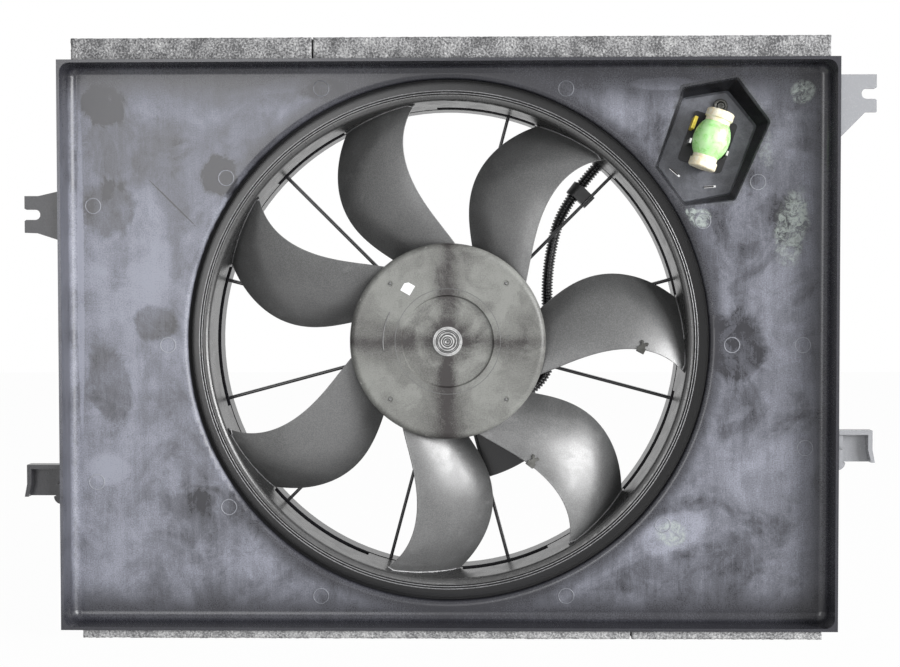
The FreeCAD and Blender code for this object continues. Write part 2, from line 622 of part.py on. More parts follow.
def fan_hub():
    """Cup shaped hub with a recessed centre, a boss for the insert and ribs inside."""
    cup = rod(HUB_RADIUS, HUB_FRONT, HUB_BACK)
    cup = cup.makeFillet(HUB_EDGE_ROUND, edges_at_depth(cup, HUB_FRONT))
    hollow = rod(HUB_RADIUS - HUB_WALL, HUB_FRONT + HUB_WALL, HUB_BACK + 1)
    hollow = hollow.makeFillet(HUB_EDGE_ROUND - HUB_WALL / 2,
                               edges_at_depth(hollow, HUB_FRONT + HUB_WALL))
    cup = cup.cut(hollow)
    well = HUB_RECESS_RADIUS + HUB_WALL
    parts = [rod(well, HUB_FRONT + HUB_WALL / 2, HUB_FLOOR + HUB_WALL),
             rod(HUB_BOSS_RADIUS, HUB_FLOOR, HUB_BOSS_BACK)]
    for i in range(HUB_RIB_COUNT):
        rib = box(INSERT_RADIUS + 1, HUB_RADIUS - HUB_WALL / 2, HUB_FRONT + HUB_WALL / 2,
                  HUB_FRONT + HUB_RIB_DEPTH, -HUB_RIB_THICKNESS / 2, HUB_RIB_THICKNESS / 2)
        parts.append(turned(rib, i * 360.0 / HUB_RIB_COUNT))
    cup = cup.fuse(parts).removeSplitter()
    recess = Part.makeCone(HUB_RECESS_RADIUS + HUB_RECESS_FLARE, HUB_RECESS_RADIUS, HUB_RECESS_DEPTH,
                           Vector(0, HUB_FRONT, 0), AXIS)
    cup = cup.cut(recess).cut(rod(INSERT_RADIUS, 0, HUB_BACK))
    for i in range(4):
        place = polar(HUB_DIMPLE_CIRCLE, 45 + 90 * i)
        cup = cup.cut(rod(HUB_DIMPLE_RADIUS, HUB_FRONT - 1, HUB_FRONT + HUB_DIMPLE_DEPTH,
                          place.x, place.z))
    return cup


def hub_insert():
    """Steel sleeve moulded into the hub, with a flange on the hub's face."""
    sleeve = rod(INSERT_RADIUS, INSERT_FRONT, HUB_BOSS_BACK)
    flange = rod(INSERT_FLANGE_RADIUS, INSERT_FRONT, HUB_FLOOR)
    return flange.fuse(sleeve).cut(rod(SHAFT_RADIUS, 0, HUB_BOSS_BACK)).removeSplitter()


def fan_washer():
    """Plain washer under the fan nut."""
    return tube(WASHER_RADIUS, SHAFT_RADIUS, WASHER_FRONT, INSERT_FRONT)


def fan_nut():
    """Round nut that holds the fan on the shaft: a collar, a groove and a low rim."""
    rim = NUT_FRONT + NUT_HEIGHT * 0.35
    groove = NUT_FRONT + NUT_HEIGHT * 0.7
    chamfer = NUT_HEIGHT * 0.1
    return revolved(((SHAFT_RADIUS, NUT_FRONT), (NUT_COLLAR_RADIUS - chamfer, NUT_FRONT),
                     (NUT_COLLAR_RADIUS, NUT_FRONT + chamfer), (NUT_COLLAR_RADIUS, groove),
                     (NUT_COLLAR_RADIUS + NUT_GROOVE_WIDTH, groove),
                     (NUT_COLLAR_RADIUS + NUT_GROOVE_WIDTH, rim), (NUT_RADIUS - chamfer, rim),
                     (NUT_RADIUS, rim + chamfer), (NUT_RADIUS, WASHER_FRONT),
                     (SHAFT_RADIUS, WASHER_FRONT)))


def shaft_spacer():
    """Thrust spacer between the hub insert and the front bush."""
    return tube(SPACER_RADIUS, SHAFT_RADIUS, HUB_BOSS_BACK, FRONT_BUSH_FRONT)


def motor_shaft():
    """Steel shaft with chamfered ends and a centre drilled in its front."""
    shaft = rod(SHAFT_RADIUS, SHAFT_FRONT, REAR_BUSH_BACK)
    shaft = shaft.makeChamfer(0.6, edges_at_depth(shaft, SHAFT_FRONT)
                              + edges_at_depth(shaft, REAR_BUSH_BACK))
    return shaft.cut(Part.makeCone(SHAFT_CENTRE_RADIUS, 0, SHAFT_CENTRE_RADIUS,
                                   Vector(0, SHAFT_FRONT, 0), AXIS))


def motor_can():
    """Drawn steel can with a closed back and a seat for the rear bush."""
    can = rod(CAN_RADIUS, CAN_FRONT, CAN_BACK)
    can = can.makeFillet(CAN_EDGE_ROUND, edges_at_depth(can, CAN_BACK))
    seat = BUSH_RADIUS + BUSH_SEAT_WALL
    seat_back = REAR_BUSH_BACK + CAN_WALL
    nose = rod(seat, CAN_BACK - CAN_WALL, seat_back)
    nose = nose.makeFillet(BUSH_SEAT_WALL, edges_at_depth(nose, seat_back))
    hollow = rod(MAGNET_OUTER, CAN_FRONT - 1, CAN_BACK - CAN_WALL)
    hollow = hollow.makeFillet(CAN_EDGE_ROUND - CAN_WALL, edges_at_depth(hollow, CAN_BACK - CAN_WALL))
    collar = rod(seat, REAR_BUSH_BACK - BUSH_LENGTH, CAN_BACK)
    can = can.fuse(nose).cut(hollow).fuse(collar)
    return can.cut(rod(BUSH_RADIUS, CAN_FRONT, REAR_BUSH_BACK)).removeSplitter()


def motor_flange():
    """Flange pressed on the can, with an ear for each motor screw."""
    flange = rod(CAN_RADIUS + 5, STRUT_FRONT - FLANGE_THICKNESS, STRUT_FRONT)
    for centre in screw_centres():
        ear = rod(FLANGE_EAR_RADIUS, STRUT_FRONT - FLANGE_THICKNESS, STRUT_FRONT,
                  centre.x, centre.z)
        flange = flange.fuse(ear)
    for centre in screw_centres():
        flange = flange.cut(rod(SCREW_RADIUS, 0, BARREL_BACK, centre.x, centre.z))
    return flange.cut(rod(CAN_RADIUS, 0, BARREL_BACK)).removeSplitter()


def motor_end_cap():
    """Plate that closes the can's front and seats the front bush."""
    seat = BUSH_RADIUS + BUSH_SEAT_WALL
    cap = rod(CAN_RADIUS, CAP_FRONT, CAP_BACK).fuse(rod(seat, FRONT_BUSH_FRONT, CAP_BACK))
    cap = cap.cut(rod(BUSH_RADIUS, 0, CAN_BACK))
    return cap.removeSplitter()


def bush(front):
    """Bronze sleeve that the shaft runs in."""
    return tube(BUSH_RADIUS, SHAFT_RADIUS + BUSH_CLEARANCE, front, front + BUSH_LENGTH)


def magnets():
    """Ferrite arcs on the inside of the can."""
    section = ((MAGNET_INNER, CORE_FRONT - 3), (MAGNET_OUTER, CORE_FRONT - 3),
               (MAGNET_OUTER, CORE_BACK + 3), (MAGNET_INNER, CORE_BACK + 3))
    pitch = 360.0 / MAGNET_COUNT
    return Part.makeCompound([revolved(section, i * pitch - MAGNET_SPAN / 2, MAGNET_SPAN)
                              for i in range(MAGNET_COUNT)])


def armature_core():
    """Stack of slotted laminations on the shaft."""
    core = tube(CORE_RADIUS, SHAFT_RADIUS, CORE_FRONT, CORE_BACK)
    slot = box(CORE_RADIUS - CORE_SLOT_DEPTH, CORE_RADIUS + 1, CORE_FRONT - 1, CORE_BACK + 1,
               -CORE_SLOT_WIDTH / 2, CORE_SLOT_WIDTH / 2)
    return core.cut([turned(slot, i * 360.0 / CORE_SLOTS) for i in range(CORE_SLOTS)])


def windings():
    """Copper coils: a bundle over each end of the core, and a bar in each slot."""
    inner = COMMUTATOR_RADIUS + 1
    outer = CORE_RADIUS - 3
    front = tube(outer, inner, CORE_FRONT - WINDING_OVERHANG, CORE_FRONT)
    back = tube(outer, inner, CORE_BACK, CORE_BACK + WINDING_OVERHANG)
    bar = box(CORE_RADIUS - CORE_SLOT_DEPTH, outer, CORE_FRONT, CORE_BACK,
              -CORE_SLOT_WIDTH / 2, CORE_SLOT_WIDTH / 2)
    bars = [turned(bar, i * 360.0 / CORE_SLOTS) for i in range(CORE_SLOTS)]
    return front.fuse([back] + bars)


def commutator():
    """Slotted copper ring that the brushes ride on."""
    back = CORE_FRONT - WINDING_OVERHANG
    ring = tube(COMMUTATOR_RADIUS, SHAFT_RADIUS, back - COMMUTATOR_LENGTH, back)
    slot = box(COMMUTATOR_RADIUS - 1, COMMUTATOR_RADIUS + 1, back - COMMUTATOR_LENGTH - 1,
               back + 1, -0.3, 0.3)
    return ring.cut([turned(slot, i * 360.0 / COMMUTATOR_BARS) for i in range(COMMUTATOR_BARS)])


def brush_card():
    """Plastic plate on the end cap's inside, with a post behind each brush spring."""
    front = CAP_BACK + BRUSH_CARD_THICKNESS
    card = tube(MAGNET_OUTER, COMMUTATOR_RADIUS + 3, CAP_BACK, front)
    start = COMMUTATOR_RADIUS + BRUSH_GAP + BRUSH_LENGTH + BRUSH_SPRING_LENGTH
    post = box(start, start + 2.5, CAP_BACK, front + BRUSH_HEIGHT, -BRUSH_WIDTH / 2, BRUSH_WIDTH / 2)
    return card.fuse([turned(post, i * 180.0) for i in range(2)]).removeSplitter()


def brushes():
    """Carbon brushes that ride on the commutator."""
    front = CAP_BACK + BRUSH_CARD_THICKNESS
    inner = COMMUTATOR_RADIUS + BRUSH_GAP
    brush = box(inner, inner + BRUSH_LENGTH, front, front + BRUSH_HEIGHT,
                -BRUSH_WIDTH / 2, BRUSH_WIDTH / 2)
    return Part.makeCompound([turned(brush, i * 180.0) for i in range(2)])


def brush_springs():
    """Springs that press the brushes inwards, each as a coil of rings in one envelope."""
    front = CAP_BACK + BRUSH_CARD_THICKNESS
    start = COMMUTATOR_RADIUS + BRUSH_GAP + BRUSH_LENGTH
    spring = Part.makeCylinder(BRUSH_SPRING_RADIUS, BRUSH_SPRING_LENGTH,
                               Vector(start, front + BRUSH_SPRING_RADIUS, 0), Vector(1, 0, 0))
    return Part.makeCompound([turned(spring, i * 180.0) for i in range(2)])


def motor_socket():
    """Moulded socket under the can, open towards the plug."""
    half = SOCKET_LENGTH / 2
    low = PLUG_HEIGHT - PLUG_WIDTH / 2 - SOCKET_WALL
    front = CONDUIT_DEPTH - PLUG_DEPTH / 2 + 0.5
    back = CONDUIT_DEPTH + PLUG_DEPTH / 2 + SOCKET_WALL
    shell = box(-half, half, front, back, low, SOCKET_TOP + 4)
    shell = shell.cut(rod(CAN_RADIUS, CAN_FRONT, CAN_BACK + 9))
    cavity = box(0, half + 1, front + SOCKET_WALL, back - SOCKET_WALL, low + SOCKET_WALL,
                 PLUG_HEIGHT + PLUG_WIDTH / 2 - 1.5)
    return shell.cut(cavity)


def motor_plug():
    """Plug on the lead's end, seated in the motor's socket."""
    half = SOCKET_LENGTH / 2
    low = PLUG_HEIGHT - PLUG_WIDTH / 2
    front = CONDUIT_DEPTH - PLUG_DEPTH / 2 + 0.5 + SOCKET_WALL
    back = CONDUIT_DEPTH + PLUG_DEPTH / 2
    nose = box(2, half, front, back, low, low + PLUG_WIDTH - 1.5)
    body = box(half, half + PLUG_LENGTH * 0.6, front, back, low, low + PLUG_WIDTH - 1.5)
    collar = Part.makeCylinder(CONDUIT_RADIUS + 1, lead_start().x - body.BoundBox.XMax,
                               Vector(body.BoundBox.XMax, CONDUIT_DEPTH, PLUG_HEIGHT),
                               Vector(1, 0, 0))
    return nose.fuse([body, collar]).removeSplitter()


def lead_start():
    """Where the lead leaves the motor's plug."""
    return Vector(SOCKET_LENGTH / 2 + PLUG_LENGTH, CONDUIT_DEPTH, PLUG_HEIGHT)


def resistor_plug_place():
    """Centre of the plug behind the resistor, on the upper half of its housing."""
    a = math.radians(RESISTOR_TILT)
    lift = HOUSING_LENGTH / 4
    return Vector(RESISTOR_CENTRE[0] - lift * math.sin(a),
                  POCKET_BACK + HOUSING_DEPTH + RESISTOR_PLUG_DEPTH / 2,
                  RESISTOR_CENTRE[1] + lift * math.cos(a))


def lead_end():
    """Where the lead enters the resistor's plug, square to the plug's side."""
    place = resistor_plug_place()
    a = math.radians(RESISTOR_TILT)
    reach = HOUSING_WIDTH / 2 + CONDUIT_RADIUS
    return Vector(place.x - reach * math.cos(a), place.y, place.z - reach * math.sin(a))


def resistor_base():
    """Base plate with an ear, saddles for the resistor, and the housing behind the pocket."""
    front = POCKET_FLOOR - BASE_THICKNESS
    plate_body = box(-BASE_WIDTH / 2, BASE_WIDTH / 2, front, POCKET_FLOOR,
                     -BASE_LENGTH / 2, BASE_LENGTH / 2)
    plate_body = plate_body.makeFillet(3.0, edges_along(plate_body, AXIS))
    neck = box(-BASE_EAR_RADIUS, BASE_EAR_RADIUS, front, POCKET_FLOOR, 0, BASE_EAR_REACH)
    ear = rod(BASE_EAR_RADIUS, front, POCKET_FLOOR, 0, BASE_EAR_REACH)
    back = POCKET_BACK + HOUSING_DEPTH
    housing = box(-HOUSING_WIDTH / 2, HOUSING_WIDTH / 2, front, back,
                  -HOUSING_LENGTH / 2, HOUSING_LENGTH / 2)
    housing = housing.makeFillet(2.0, edges_along(housing, AXIS))
    parts = [neck, ear, housing]
    for end in (-1, 1):
        reach = end * (RESISTOR_LENGTH / 2 - RESISTOR_END_LENGTH / 2)
        parts.append(box(-RESISTOR_CORE_RADIUS, RESISTOR_CORE_RADIUS, resistor_depth(), front,
                         reach - 2, reach + 2))
    body = plate_body.fuse(parts).removeSplitter()
    body = body.cut(rod(RESISTOR_SCREW_RADIUS, 0, POCKET_BACK, 0, BASE_EAR_REACH))
    body = body.cut(resistor_envelope())
    half = HOUSING_WIDTH / 2 - SUPPLY_WALL
    body = body.cut(box(-half, half, back - SUPPLY_DEPTH, back + 1,
                        -HOUSING_LENGTH / 2 + SUPPLY_WALL, -SUPPLY_WALL))
    nose = HOUSING_LENGTH / 2 - SUPPLY_WALL
    body = body.cut(box(-half, half, back - SUPPLY_DEPTH / 2, back + 1, SUPPLY_WALL, nose))
    return tilted(body)


def resistor_depth():
    """Depth of the resistor's own axis."""
    return POCKET_FLOOR - BASE_THICKNESS - RESISTOR_STAND - RESISTOR_BELLY_RADIUS


def spun(profile):
    """Solid of (radius, height) points spun about the resistor's upright axis."""
    points = [Vector(r, 0, z) for r, z in profile]
    face = Part.Face(Part.makePolygon(points + points[:1]))
    solid = face.revolve(ORIGIN, Vector(0, 0, 1), 360)
    solid.translate(Vector(0, resistor_depth(), 0))
    return solid


def core_profile():
    """Half outline of the ceramic core: a thin middle between two waisted ends."""
    half = RESISTOR_LENGTH / 2
    end = half - RESISTOR_END_LENGTH
    shoulder = end - RESISTOR_END_LENGTH * 0.6
    return ((0, -half), (RESISTOR_END_RADIUS - 1, -half), (RESISTOR_END_RADIUS, -half + 1),
            (RESISTOR_END_RADIUS, -end), (RESISTOR_WAIST_RADIUS, -end + 1),
            (RESISTOR_WAIST_RADIUS, -shoulder), (RESISTOR_CORE_RADIUS, -shoulder),
            (RESISTOR_CORE_RADIUS, shoulder), (RESISTOR_WAIST_RADIUS, shoulder),
            (RESISTOR_WAIST_RADIUS, end - 1), (RESISTOR_END_RADIUS, end),
            (RESISTOR_END_RADIUS, half - 1), (RESISTOR_END_RADIUS - 1, half), (0, half))


def resistor_envelope():
    """Room that the resistor takes, used to hollow its saddles."""
    half = RESISTOR_LENGTH / 2
    return spun(((0, -half), (RESISTOR_END_RADIUS, -half), (RESISTOR_END_RADIUS, half), (0, half)))


def resistor_core():
    """Ceramic core with an end collar at each end."""
    return tilted(spun(core_profile()))


def resistor_coil():
    """Coated wire coil that bulges round the middle of the core."""
    shoulder = RESISTOR_LENGTH / 2 - RESISTOR_END_LENGTH * 1.6
    low, high = Vector(RESISTOR_WAIST_RADIUS, 0, -shoulder), Vector(RESISTOR_WAIST_RADIUS, 0, shoulder)
    belly = Vector(RESISTOR_BELLY_RADIUS, 0, 0)
    inner = [Vector(RESISTOR_CORE_RADIUS, 0, shoulder), Vector(RESISTOR_CORE_RADIUS, 0, -shoulder)]
    outline = Part.Wire([Part.Arc(low, belly, high).toShape(),
                         Part.LineSegment(high, inner[0]).toShape(),
                         Part.LineSegment(inner[0], inner[1]).toShape(),
                         Part.LineSegment(inner[1], low).toShape()])
    coil = Part.Face(outline).revolve(ORIGIN, Vector(0, 0, 1), 360)
    coil.translate(Vector(0, resistor_depth(), 0))
    return tilted(coil)


def resistor_terminals():
    """Two metal straps that stand on the base plate beside the coil."""
    front = POCKET_FLOOR - BASE_THICKNESS
    side = RESISTOR_BELLY_RADIUS + TERMINAL_THICKNESS
    strap = box(side, side + TERMINAL_THICKNESS, resistor_depth() - 2, front,
                -TERMINAL_WIDTH / 2, TERMINAL_WIDTH / 2)
    hook = box(side - TERMINAL_THICKNESS, side, resistor_depth() - 2,
               resistor_depth() + 2, -TERMINAL_WIDTH / 2, TERMINAL_WIDTH / 2)
    strap = strap.fuse(hook).removeSplitter()
    right = strap.copy()
    right.translate(Vector(0, 0, -RESISTOR_END_LENGTH))
    left = strap.mirror(ORIGIN, Vector(1, 0, 0))
    left.translate(Vector(0, 0, -RESISTOR_END_LENGTH))
    return Part.makeCompound([tilted(right), tilted(left)])


def thermal_fuse():
    """Yellow thermal fuse that stands on the base beside the coil."""
    front = POCKET_FLOOR - BASE_THICKNESS
    side = -RESISTOR_BELLY_RADIUS - TERMINAL_THICKNESS
    fuse = box(side - FUSE_WIDTH, side, resistor_depth() + 2, front,
               TERMINAL_WIDTH, TERMINAL_WIDTH + FUSE_LENGTH)
    return tilted(fuse.makeFillet(0.8, edges_along(fuse, AXIS)))


def resistor_screw():
    """Pan head screw through the base's ear."""
    ear = ear_centre()
    head_back = POCKET_FLOOR - BASE_THICKNESS
    head = rod(RESISTOR_SCREW_HEAD, head_back - RESISTOR_SCREW_HEIGHT, head_back, ear.x, ear.z)
    head = head.makeFillet(RESISTOR_SCREW_HEIGHT * 0.5,
                           edges_at_depth(head, head_back - RESISTOR_SCREW_HEIGHT))
    reach = RESISTOR_SCREW_HEAD * 0.55
    recess = box(-reach / 4, reach / 4, -1, RESISTOR_SCREW_HEIGHT / 2, -reach, reach)
    cross = recess.fuse(turned(recess, 90))
    cross.translate(Vector(ear.x, head_back - RESISTOR_SCREW_HEIGHT, ear.z))
    shank = rod(RESISTOR_SCREW_RADIUS, head_back, POCKET_BACK + 3, ear.x, ear.z)
    return head.fuse(shank).cut(cross).removeSplitter()


def resistor_plug():
    """Plug on the lead's other end, seated in the resistor's housing."""
    back = POCKET_BACK + HOUSING_DEPTH
    half = HOUSING_WIDTH / 2 - SUPPLY_WALL
    low, high = SUPPLY_WALL, HOUSING_LENGTH / 2 - SUPPLY_WALL
    nose = box(-half, half, back - SUPPLY_DEPTH / 2, back, low, high)
    body = box(-HOUSING_WIDTH / 2, HOUSING_WIDTH / 2, back, back + RESISTOR_PLUG_DEPTH,
               HOUSING_LENGTH / 4 - RESISTOR_PLUG_HEIGHT / 2,
               HOUSING_LENGTH / 4 + RESISTOR_PLUG_HEIGHT / 2)
    body = body.makeFillet(1.5, edges_at_depth(body, back + RESISTOR_PLUG_DEPTH))
    collar = Part.makeCylinder(CONDUIT_RADIUS + 1, CONDUIT_RADIUS,
                               Vector(-HOUSING_WIDTH / 2 - CONDUIT_RADIUS,
                                      back + RESISTOR_PLUG_DEPTH / 2, HOUSING_LENGTH / 4),
                               Vector(1, 0, 0))
    return tilted(nose.fuse([body, collar]).removeSplitter())


def supply_pins():
    """Two blade pins in the open socket that the vehicle's plug goes into."""
    back = POCKET_BACK + HOUSING_DEPTH
    middle = -HOUSING_LENGTH / 4
    pins = []
    for x in (-HOUSING_WIDTH / 5, HOUSING_WIDTH / 5):
        pins.append(tilted(box(x - SUPPLY_PIN / 2, x + SUPPLY_PIN / 2, back - SUPPLY_DEPTH,
                               back - 3, middle - 3, middle + 3)))
    return Part.makeCompound(pins)


def conduit_clips():
    """Clips that hold the lead to two of the struts."""
    clips = []
    struts = stator_struts()
    lead = lead_solid(CONDUIT_RADIUS)
    for angle, radius in CLIP_PLACES:
        spot, run = lead_near(radius)
        ring = Part.makeCylinder(CONDUIT_RADIUS + CLIP_WALL, CLIP_LENGTH,
                                 spot - run * (CLIP_LENGTH / 2), run)
        offset = turned_back(spot, angle)
        half = STRUT_THICKNESS / 2 + CLIP_WALL
        neck = box(offset.x - CLIP_LENGTH / 2, offset.x + CLIP_LENGTH / 2,
                   BARREL_BACK - STRUT_DEPTH / 2, CONDUIT_DEPTH - CONDUIT_RADIUS / 2,
                   min(-half, offset.z - 2), max(half, offset.z))
        clip = ring.fuse(turned(neck, angle))
        clip = clip.cut([lead] + struts.Solids)
        clips.append(max(clip.Solids, key=lambda s: s.Volume))
    return Part.makeCompound(clips)


def turned_back(point, angle):
    """Place of a point in a frame whose X axis runs along a strut."""
    a = math.radians(angle)
    return Vector(point.x * math.cos(a) + point.z * math.sin(a), point.y,
                  point.z * math.cos(a) - point.x * math.sin(a))


def lead_near(radius):
    """Point on the lead's route at a distance from the fan's axis, and the way it runs there."""
    best = None
    points = lead_points() + [lead_end()]
    for a, b in zip(points, points[1:]):
        for i in range(101):
            spot = a + (b - a) * (i / 100.0)
            miss = abs(math.hypot(spot.x, spot.z) - radius) - spot.z * 0.001
            if spot.z > 0 and (best is None or miss < best[0]):
                best = (miss, spot, (b - a).normalize())
    return best[1], best[2]


def balance_clips():
    """Small steel clips pushed on the leading edges of two blades."""
    clips = []
    blades = fan_blades().Solids
    half = BALANCE_HEIGHT / 2
    for index, share, turn, push in BALANCE_PLACES:
        radius = HUB_RADIUS + share * (BAND_INNER_RADIUS - HUB_RADIUS)
        angle = BLADE_ANGLES[index] + blend(LEADING_SWEEP, share)
        spot = polar(radius, angle, blend(LEADING_DEPTH, share))
        clip = turned(plate([(x, z + push) for x, z in BALANCE_OUTLINE], -half, half), turn)
        clip.rotate(ORIGIN, Vector(1, 0, 0), -BALANCE_LEAN)
        clip = turned(clip, angle)
        clip.translate(spot)
        clip = clip.cut(blades[index])
        clips.append(max(clip.Solids, key=lambda s: s.Volume))
    return Part.makeCompound(clips)


def hub_label():
    """Small blank square label on the hub's face."""
    half = LABEL_SIZE / 2
    label = box(-half, half, HUB_FRONT - LABEL_THICKNESS, HUB_FRONT, -half, half)
    label = turned(label, LABEL_TURN)
    label.translate(Vector(LABEL_PLACE[0], 0, LABEL_PLACE[1]))
    return label


def side_bracket(outline, side, slot_height, slot_end):
    """Flat bracket with an open slot, stiffened by a rib along each long edge."""
    wall = side * TRAY_SIDE
    front, back = BRACKET_FRONT, BRACKET_FRONT + BRACKET_THICKNESS
    outline = [(dx, TRAY_TOP + z) for dx, z in outline]
    slot_height = TRAY_TOP + slot_height
    body = plate([(wall + dx, z) for dx, z in outline], front, back)
    far = max((abs(dx) for dx, z in outline)) + 1
    end = wall + slot_end
    slot = rod(SLOT_WIDTH / 2, front - 1, back + 1, end + side * SLOT_WIDTH / 2, slot_height)
    half = SLOT_WIDTH / 2
    x0, x1 = sorted((end + side * half, wall + side * far))
    slot = slot.fuse(box(x0, x1, front - 1, back + 1, slot_height - half, slot_height + half))
    mouth = plate([(wall + side * (far - 1 - SLOT_FLARE), slot_height - half),
                   (wall + side * far, slot_height - half - SLOT_FLARE),
                   (wall + side * far, slot_height + half + SLOT_FLARE),
                   (wall + side * (far - 1 - SLOT_FLARE), slot_height + half)],
                  front - 1, back + 1)
    low = min(z for dx, z in outline)
    high = max(z for dx, z in outline)
    ribs = []
    for z0, z1 in ((high - 8.0, high - 8.0 + WALL), (low + 8.0 - WALL, low + 8.0)):
        reach = side * abs(slot_end)
        corners = [Vector(wall, back, z0), Vector(wall + reach, back, z0),
                   Vector(wall, back + abs(reach), z0), Vector(wall, back, z0)]
        rib = Part.Face(Part.makePolygon(corners)).extrude(Vector(0, 0, z1 - z0))
        ribs.append(rib.common(plate([(wall + dx, z) for dx, z in outline], front,
                                     back + abs(reach))))
    return body.fuse(ribs).cut(slot.fuse(mouth)).removeSplitter()


def lower_hook(side, rise):
    """Hook tab: a back plate with a lip along its top and a flared lip down its outer side."""
    top = TRAY_BOTTOM + rise
    wall = side * TRAY_SIDE
    far = wall + side * HOOK_WIDTH
    back = HOOK_FRONT + HOOK_DEPTH
    low = top - HOOK_HEIGHT

    def span(a, b):
        return min(a, b), max(a, b)

    x0, x1 = span(wall, far)
    body = box(x0, x1, back - HOOK_LIP * 0.8, back, low, top)
    top_lip = box(x0, x1, HOOK_FRONT, back, top - HOOK_LIP, top)
    inner = far - side * HOOK_LIP
    side_lip = plate([(far, top), (far, low + HOOK_HEIGHT * 0.4), (far + side * 2, low),
                      (far - side * 1, low), (inner, low + HOOK_HEIGHT * 0.4), (inner, top)],
                     HOOK_FRONT, back)
    g0, g1 = span(wall, wall + side * HOOK_GUSSET)
    upper = box(g0, g1, HOOK_FRONT + 2, back, top - HOOK_HEIGHT * 0.5, top)
    lower = box(g0, g1, HOOK_FRONT + 2, back, low, top - HOOK_HEIGHT * 0.6)
    foot = rod(HOOK_GUSSET * 1.4, HOOK_FRONT + 2, back, wall, low)
    foot = foot.common(box(g0 - 9, g1 + 9, 0, back, low - 20, low)).common(
        box(*span(wall, wall + side * 20), 0, back, low - 20, low))
    return body.fuse([top_lip, side_lip, upper, lower, foot]).removeSplitter()


def foam_strip(left, right, joint, low, high):
    """Foam strip in two lengths that meet at a joint."""
    back = FOAM_FRONT + FOAM_DEPTH
    return Part.makeCompound([box(left, joint, FOAM_FRONT, back, low, high),
                              box(joint, right, FOAM_FRONT, back, low, high)])


def lead_points():
    """Corner points of the lead's route, whose last run is square to the resistor's plug."""
    a = math.radians(RESISTOR_TILT)
    finish = lead_end() - Vector(math.cos(a), 0, math.sin(a)) * LEAD_FINISH
    turns = [Vector(x, CONDUIT_DEPTH + y, z) for x, z, y in LEAD_TURNS]
    return [lead_start()] + turns + [finish]


def harness_conduit():
    """Corrugated conduit, drawn as a plain tube, with its radii and volume printed."""
    return lead_solid(CONDUIT_RADIUS, True)


def lead_solid(section_radius, report=False):
    """Tube of straight runs joined by tangent arcs along the lead's route."""
    points = lead_points() + [lead_end()]
    edges = []
    start = points[0]
    length = 0.0
    for before, corner, after in zip(points, points[1:], points[2:]):
        back, ahead = before - corner, after - corner
        half_turn = (math.pi - back.getAngle(ahead)) / 2
        setback = 0.45 * min(back.Length, ahead.Length)
        radius = setback / math.tan(half_turn)
        if report:
            print("lead arc radius %.1f mm, turn %.0f degrees"
                  % (radius, math.degrees(2 * half_turn)))
        back.normalize()
        ahead.normalize()
        inward = (back + ahead).normalize()
        middle = corner + inward * (radius / math.cos(half_turn) - radius)
        enter, leave = corner + back * setback, corner + ahead * setback
        edges.append(Part.LineSegment(start, enter).toShape())
        edges.append(Part.Arc(enter, middle, leave).toShape())
        length += edges[-2].Length + edges[-1].Length
        start = leave
    edges.append(Part.LineSegment(start, points[-1]).toShape())
    length += edges[-1].Length
    path = Part.Wire(edges)
    run = points[1] - points[0]
    ring = Part.Wire(Part.makeCircle(section_radius, points[0], run))
    solid = path.makePipeShell([ring], True, False)
    if report:
        print("lead volume %.0f of %.0f cubic mm"
              % (solid.Volume, math.pi * section_radius ** 2 * length))
    return solid


NODES = {
    "shroud_tray": shroud_tray,
    "resistor_pocket": resistor_pocket,
    "shroud_barrel": shroud_barrel,
    "stator_struts": stator_struts,
    "stator_ring": stator_ring,
    "stator_web": stator_web,
    "motor_screws": motor_screws,
    "fan_blades": fan_blades,
    "fan_band": fan_band,
    "fan_hub": fan_hub,
    "hub_insert": hub_insert,
    "fan_washer": fan_washer,
    "fan_nut": fan_nut,
    "shaft_spacer": shaft_spacer,
    "motor_shaft": motor_shaft,
    "motor_can": motor_can,
    "motor_flange": motor_flange,
    "motor_end_cap": motor_end_cap,
    "front_bush": lambda: bush(FRONT_BUSH_FRONT),
    "rear_bush": lambda: bush(REAR_BUSH_BACK - BUSH_LENGTH),
    "magnets": magnets,
    "armature_core": armature_core,
    "windings": windings,
    "commutator": commutator,
    "brush_card": brush_card,
    "brushes": brushes,
    "brush_springs": brush_springs,
    "motor_socket": motor_socket,
    "motor_plug": motor_plug,
    "harness_conduit": harness_conduit,
    "conduit_clips": conduit_clips,
    "resistor_base": resistor_base,
    "resistor_core": resistor_core,
    "resistor_coil": resistor_coil,
    "resistor_terminals": resistor_terminals,
    "thermal_fuse": thermal_fuse,
    "resistor_screw": resistor_screw,
    "resistor_plug": resistor_plug,
    "supply_pins": supply_pins,
    "balance_clips": balance_clips,
    "hub_label": hub_label,
    "bracket_upper_left": lambda: side_bracket(LEFT_BRACKET, -1, LEFT_SLOT_HEIGHT, LEFT_SLOT_END),
    "bracket_upper_right": lambda: side_bracket(RIGHT_BRACKET, 1, RIGHT_SLOT_HEIGHT,
                                                RIGHT_SLOT_END),
    "hook_lower_left": lambda: lower_hook(-1, LEFT_HOOK_TOP),
    "hook_lower_right": lambda: lower_hook(1, RIGHT_HOOK_TOP),
    "foam_top": lambda: foam_strip(TOP_FOAM_LEFT, TOP_FOAM_RIGHT, TOP_FOAM_JOINT, TRAY_TOP,
                                   TRAY_TOP + TOP_FOAM_THICKNESS),
    "foam_bottom": lambda: foam_strip(BOTTOM_FOAM_LEFT, BOTTOM_FOAM_RIGHT, BOTTOM_FOAM_JOINT,
                                      TRAY_BOTTOM - BOTTOM_FOAM_THICKNESS, TRAY_BOTTOM),
}


